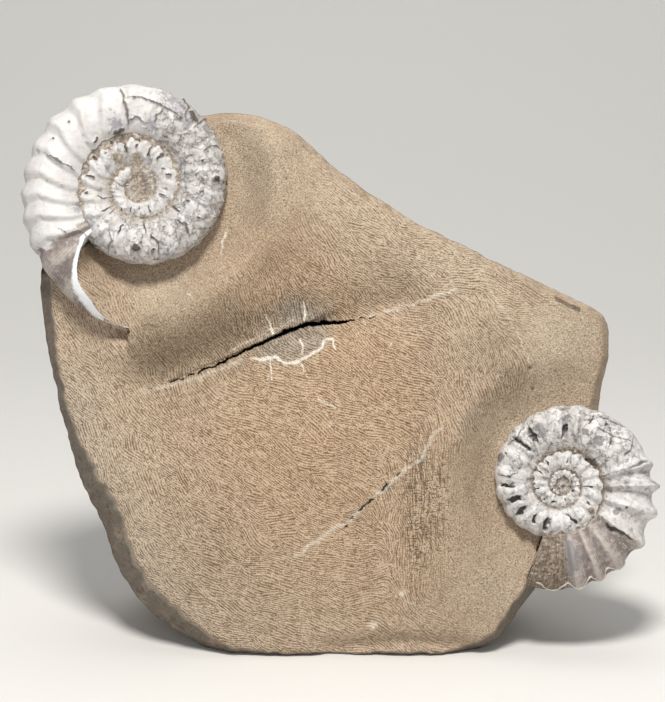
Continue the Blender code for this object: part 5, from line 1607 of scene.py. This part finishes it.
class FossilShellLook(bpy.types.PropertyGroup):
    which: bpy.props.StringProperty(name="Which Shell", description="Shell that this finish is for",
                                    default="upper")
    rib_height: bpy.props.FloatProperty(name="Rib Height", description="Share of the radius",
                                        default=1.1 * LARGE.rib_height)
    rib_sharpness: bpy.props.FloatProperty(name="Rib Sharpness", default=1.0,
                                           description="More than 1 makes all ribs sharper")
    wear_depth: millimetres("Wear Depth", 0.42, "Depth to which the worn shell is eaten away")
    wear_grain: millimetres("Wear Grain", 1.5, "Size of the hollows in the worn shell")
    plate_size: millimetres("Plate Size", 1.3, "Size of the angular pieces of the worn shell")
    line_depth: millimetres("Line Depth", 0.05, "Depth of the growth lines")
    grain_depth: millimetres("Grain Depth", 0.16, "Depth of the fine grain")
    grains: bpy.props.FloatProperty(name="Grains per Area", default=2.0,
                                    description="Loose grains on each square millimetre of sediment")
    roughness: share_of("Roughness", 0.5, "Roughness of the shell where it is whole")
    white: colour_text("White", "#d1cfcd")
    grey_white: colour_text("Grey White", "#c9c5c1")
    grain: colour_text("Grain", "#aea8a2")
    hollow: colour_text("Hollow", "#6b655f")
    slate: colour_text("Slate", "#9a969c")
    # Painted shade in the slots and pits
    slot: colour_text("Slot", "#534d47")
    crack: colour_text("Crack", "#4f4944")
    silt: colour_text("Silt", "#c0b4a4")
    silt_dark: colour_text("Dark Silt", "#83766a")
    crumb: colour_text("Crumb", "#cfc8be")
    purple: colour_text("Purple", "#786d68")
    purple_light: colour_text("Light Purple", "#b5aba3")
    # Painted highlight along the broken lip, and along the keel of the lower shell
    lip: colour_text("Lip", "#e9ebee")


def watts(label, power, text):
    return bpy.props.FloatProperty(name=label, description=text, default=power, subtype="POWER")


class FossilStageLook(bpy.types.PropertyGroup):
    floor: colour_text("Floor", "#dcdad6")
    key_power: watts("Key Light", 4.1, "Power of the light above")
    fill_power: watts("Fill Light", 0.9, "Power of the light in front")
    backdrop_power: watts("Backdrop Light", 3.0, "Power of the light on the backdrop")
    lens: millimetres("Lens", 110.0, "Focal length of the camera")


class FOSSIL_OT_stone(bpy.types.Operator):
    """Make the mudstone block with its dressed face, its crack and its veins"""
    bl_idname = "fossil.make_stone"
    bl_label = "Make Mudstone Block"

    def execute(self, context):
        look = context.scene.fossil_stone
        obj = put_in_scene("mudstone_block", build_stone_mesh(look))
        obj.data.materials.append(stone_material(look))
        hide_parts("matrix")
        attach(obj, "root")
        return {"FINISHED"}


class FOSSIL_OT_upper_shell(bpy.types.Operator):
    """Wind the larger shell in the upper left of the block"""
    bl_idname = "fossil.make_upper_shell"
    bl_label = "Make Upper Ammonite"

    def execute(self, context):
        look = context.scene.fossil_upper_shell
        obj = build_coil(LARGE, look, LARGE_MARKS, shell_material(look))
        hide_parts(LARGE.name)
        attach(obj, "root")
        return {"FINISHED"}


class FOSSIL_OT_lower_shell(bpy.types.Operator):
    """Wind the smaller shell at the right edge of the block"""
    bl_idname = "fossil.make_lower_shell"
    bl_label = "Make Lower Ammonite"

    def execute(self, context):
        look = context.scene.fossil_lower_shell
        obj = build_coil(SMALL, look, SMALL_MARKS, shell_material(look))
        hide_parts(SMALL.name)
        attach(obj, "root")
        return {"FINISHED"}


# Lights: name, place, what it is turned to, size, colour. All in metres.
LIT_PLACE = (0.0, 0.0, 0.055)
LIGHTS = (
    ("key", (0.0, -0.32, 0.57), LIT_PLACE, 0.15, "#fffdf9"),
    ("fill", (-0.15, -0.75, 0.25), LIT_PLACE, 0.5, "#f4f7ff"),
    ("backdrop", (0.0, 0.30, 1.10), (0.0, 0.62, 0.10), 0.8, "#ffffff"),
)
ROOM_COLOUR = "#e6e8ec"
ROOM_STRENGTH = 0.30
PAPER_ROUGHNESS = 0.85

# Camera: it looks square on to the leaning face
VIEW_MIDDLE = (-1.33, 57.76, 0.0)    # place on the face at the middle of the picture
FRAME_HEIGHT = 133.4           # height of the face plane that the picture takes in
SENSOR = 36.0
FLOOR_REACH = 4.0              # metres, as are the next two
SWEEP_START = 0.25
SWEEP_RADIUS = 0.6


def area_light(name, place, target, size, power, colour):
    data = bpy.data.lights.new(name, "AREA")
    data.shape = "DISK"
    data.size = size
    data.energy = power
    data.color = linear(colour)[:3]
    obj = bpy.data.objects.new(name, data)
    obj.location = place
    obj.rotation_euler = (Vector(target) - Vector(place)).to_track_quat("-Z", "Y").to_euler()
    bpy.context.scene.collection.objects.link(obj)


def sweep_mesh():
    """A floor that rises behind the object in one wide curve."""
    turn = np.linspace(0.0, 0.5 * math.pi, 25)
    depth = np.concatenate([[-FLOOR_REACH], SWEEP_START + SWEEP_RADIUS * np.sin(turn)])
    height = np.concatenate([[0.0], SWEEP_RADIUS * (1.0 - np.cos(turn))])
    depth = np.append(depth, depth[-1])
    height = np.append(height, FLOOR_REACH)
    points = [(x, y, z) for y, z in zip(depth, height) for x in (-FLOOR_REACH, FLOOR_REACH)]
    faces = [(2 * i, 2 * i + 1, 2 * i + 3, 2 * i + 2) for i in range(len(depth) - 1)]
    mesh = bpy.data.meshes.new("floor")
    mesh.from_pydata(points, [], faces)
    mesh.shade_smooth()
    return mesh


class FOSSIL_OT_stage(bpy.types.Operator):
    """Make the pale floor, the soft lights and the camera"""
    bl_idname = "fossil.make_stage"
    bl_label = "Make Stage"

    def execute(self, context):
        look = context.scene.fossil_stage
        scene = context.scene
        floor = put_in_scene("floor", sweep_mesh())
        # Matt paper: pale, with next to no gloss, so nothing shows in it but a soft shadow
        material, _, shader = new_material("matt_paper")
        shader.inputs["Base Color"].default_value = linear(look.floor)
        shader.inputs["Roughness"].default_value = PAPER_ROUGHNESS
        floor.data.materials.append(material)

        for name, place, target, size, colour in LIGHTS:
            area_light(name, place, target, size, getattr(look, name + "_power"), colour)
        world = bpy.data.worlds.new("studio")
        world.use_nodes = True
        world.node_tree.nodes["Background"].inputs["Color"].default_value = linear(ROOM_COLOUR)
        world.node_tree.nodes["Background"].inputs["Strength"].default_value = ROOM_STRENGTH
        scene.world = world
        scene.view_settings.view_transform = "Standard"

        data = bpy.data.cameras.new("camera")
        data.lens = look.lens
        data.sensor_fit = "VERTICAL"
        data.sensor_height = SENSOR
        data.clip_end = 20.0
        camera = bpy.data.objects.new("camera", data)
        scene.collection.objects.link(camera)
        lean = math.radians(FACE_LEAN)
        away = Vector((0.0, -math.cos(lean), math.sin(lean)))
        middle = Vector(face_to_world([VIEW_MIDDLE])[0])
        camera.location = middle + away * (FRAME_HEIGHT * look.lens / SENSOR * MM)
        camera.rotation_euler = (-away).to_track_quat("-Z", "Y").to_euler()
        scene.camera = camera
        return {"FINISHED"}


class FOSSIL_PT_sidebar(bpy.types.Panel):
    """Buttons that make each piece of the block"""
    bl_label = "Ammonite Block"
    bl_idname = "FOSSIL_PT_sidebar"
    bl_space_type = "VIEW_3D"
    bl_region_type = "UI"
    bl_category = "Fossil"

    def draw(self, context):
        for kind in MAKERS:
            self.layout.operator(kind.bl_idname)


MAKERS = (FOSSIL_OT_stone, FOSSIL_OT_upper_shell, FOSSIL_OT_lower_shell, FOSSIL_OT_stage)
LOOKS = (("fossil_stone", FossilStoneLook), ("fossil_upper_shell", FossilShellLook),
         ("fossil_lower_shell", FossilShellLook), ("fossil_stage", FossilStageLook))
CLASSES = (FossilStoneLook, FossilShellLook, FossilStageLook) + MAKERS + (FOSSIL_PT_sidebar,)


# In what the lower shell's look differs from the upper one's
LOWER_SHELL_LOOK = {
    "which": "lower", "rib_height": 1.2 * SMALL.rib_height, "wear_depth": 0.34, "white": "#dedcd9",
    "silt": "#9c8d7d", "silt_dark": "#64574a", "slate": "#807c7c", "lip": "#e6ddd2",
}


def register():
    for kind in CLASSES:
        bpy.utils.register_class(kind)
    for name, kind in LOOKS:
        setattr(bpy.types.Scene, name, bpy.props.PointerProperty(type=kind))


def unregister():
    for name, _ in LOOKS:
        delattr(bpy.types.Scene, name)
    for kind in reversed(CLASSES):
        bpy.utils.unregister_class(kind)


def main():
    register()
    lower = bpy.context.scene.fossil_lower_shell
    for name, value in LOWER_SHELL_LOOK.items():
        setattr(lower, name, value)
    bpy.ops.fossil.make_stone()
    bpy.ops.fossil.make_upper_shell()
    bpy.ops.fossil.make_lower_shell()
    bpy.ops.fossil.make_stage()


if __name__ == "__main__":
    main()
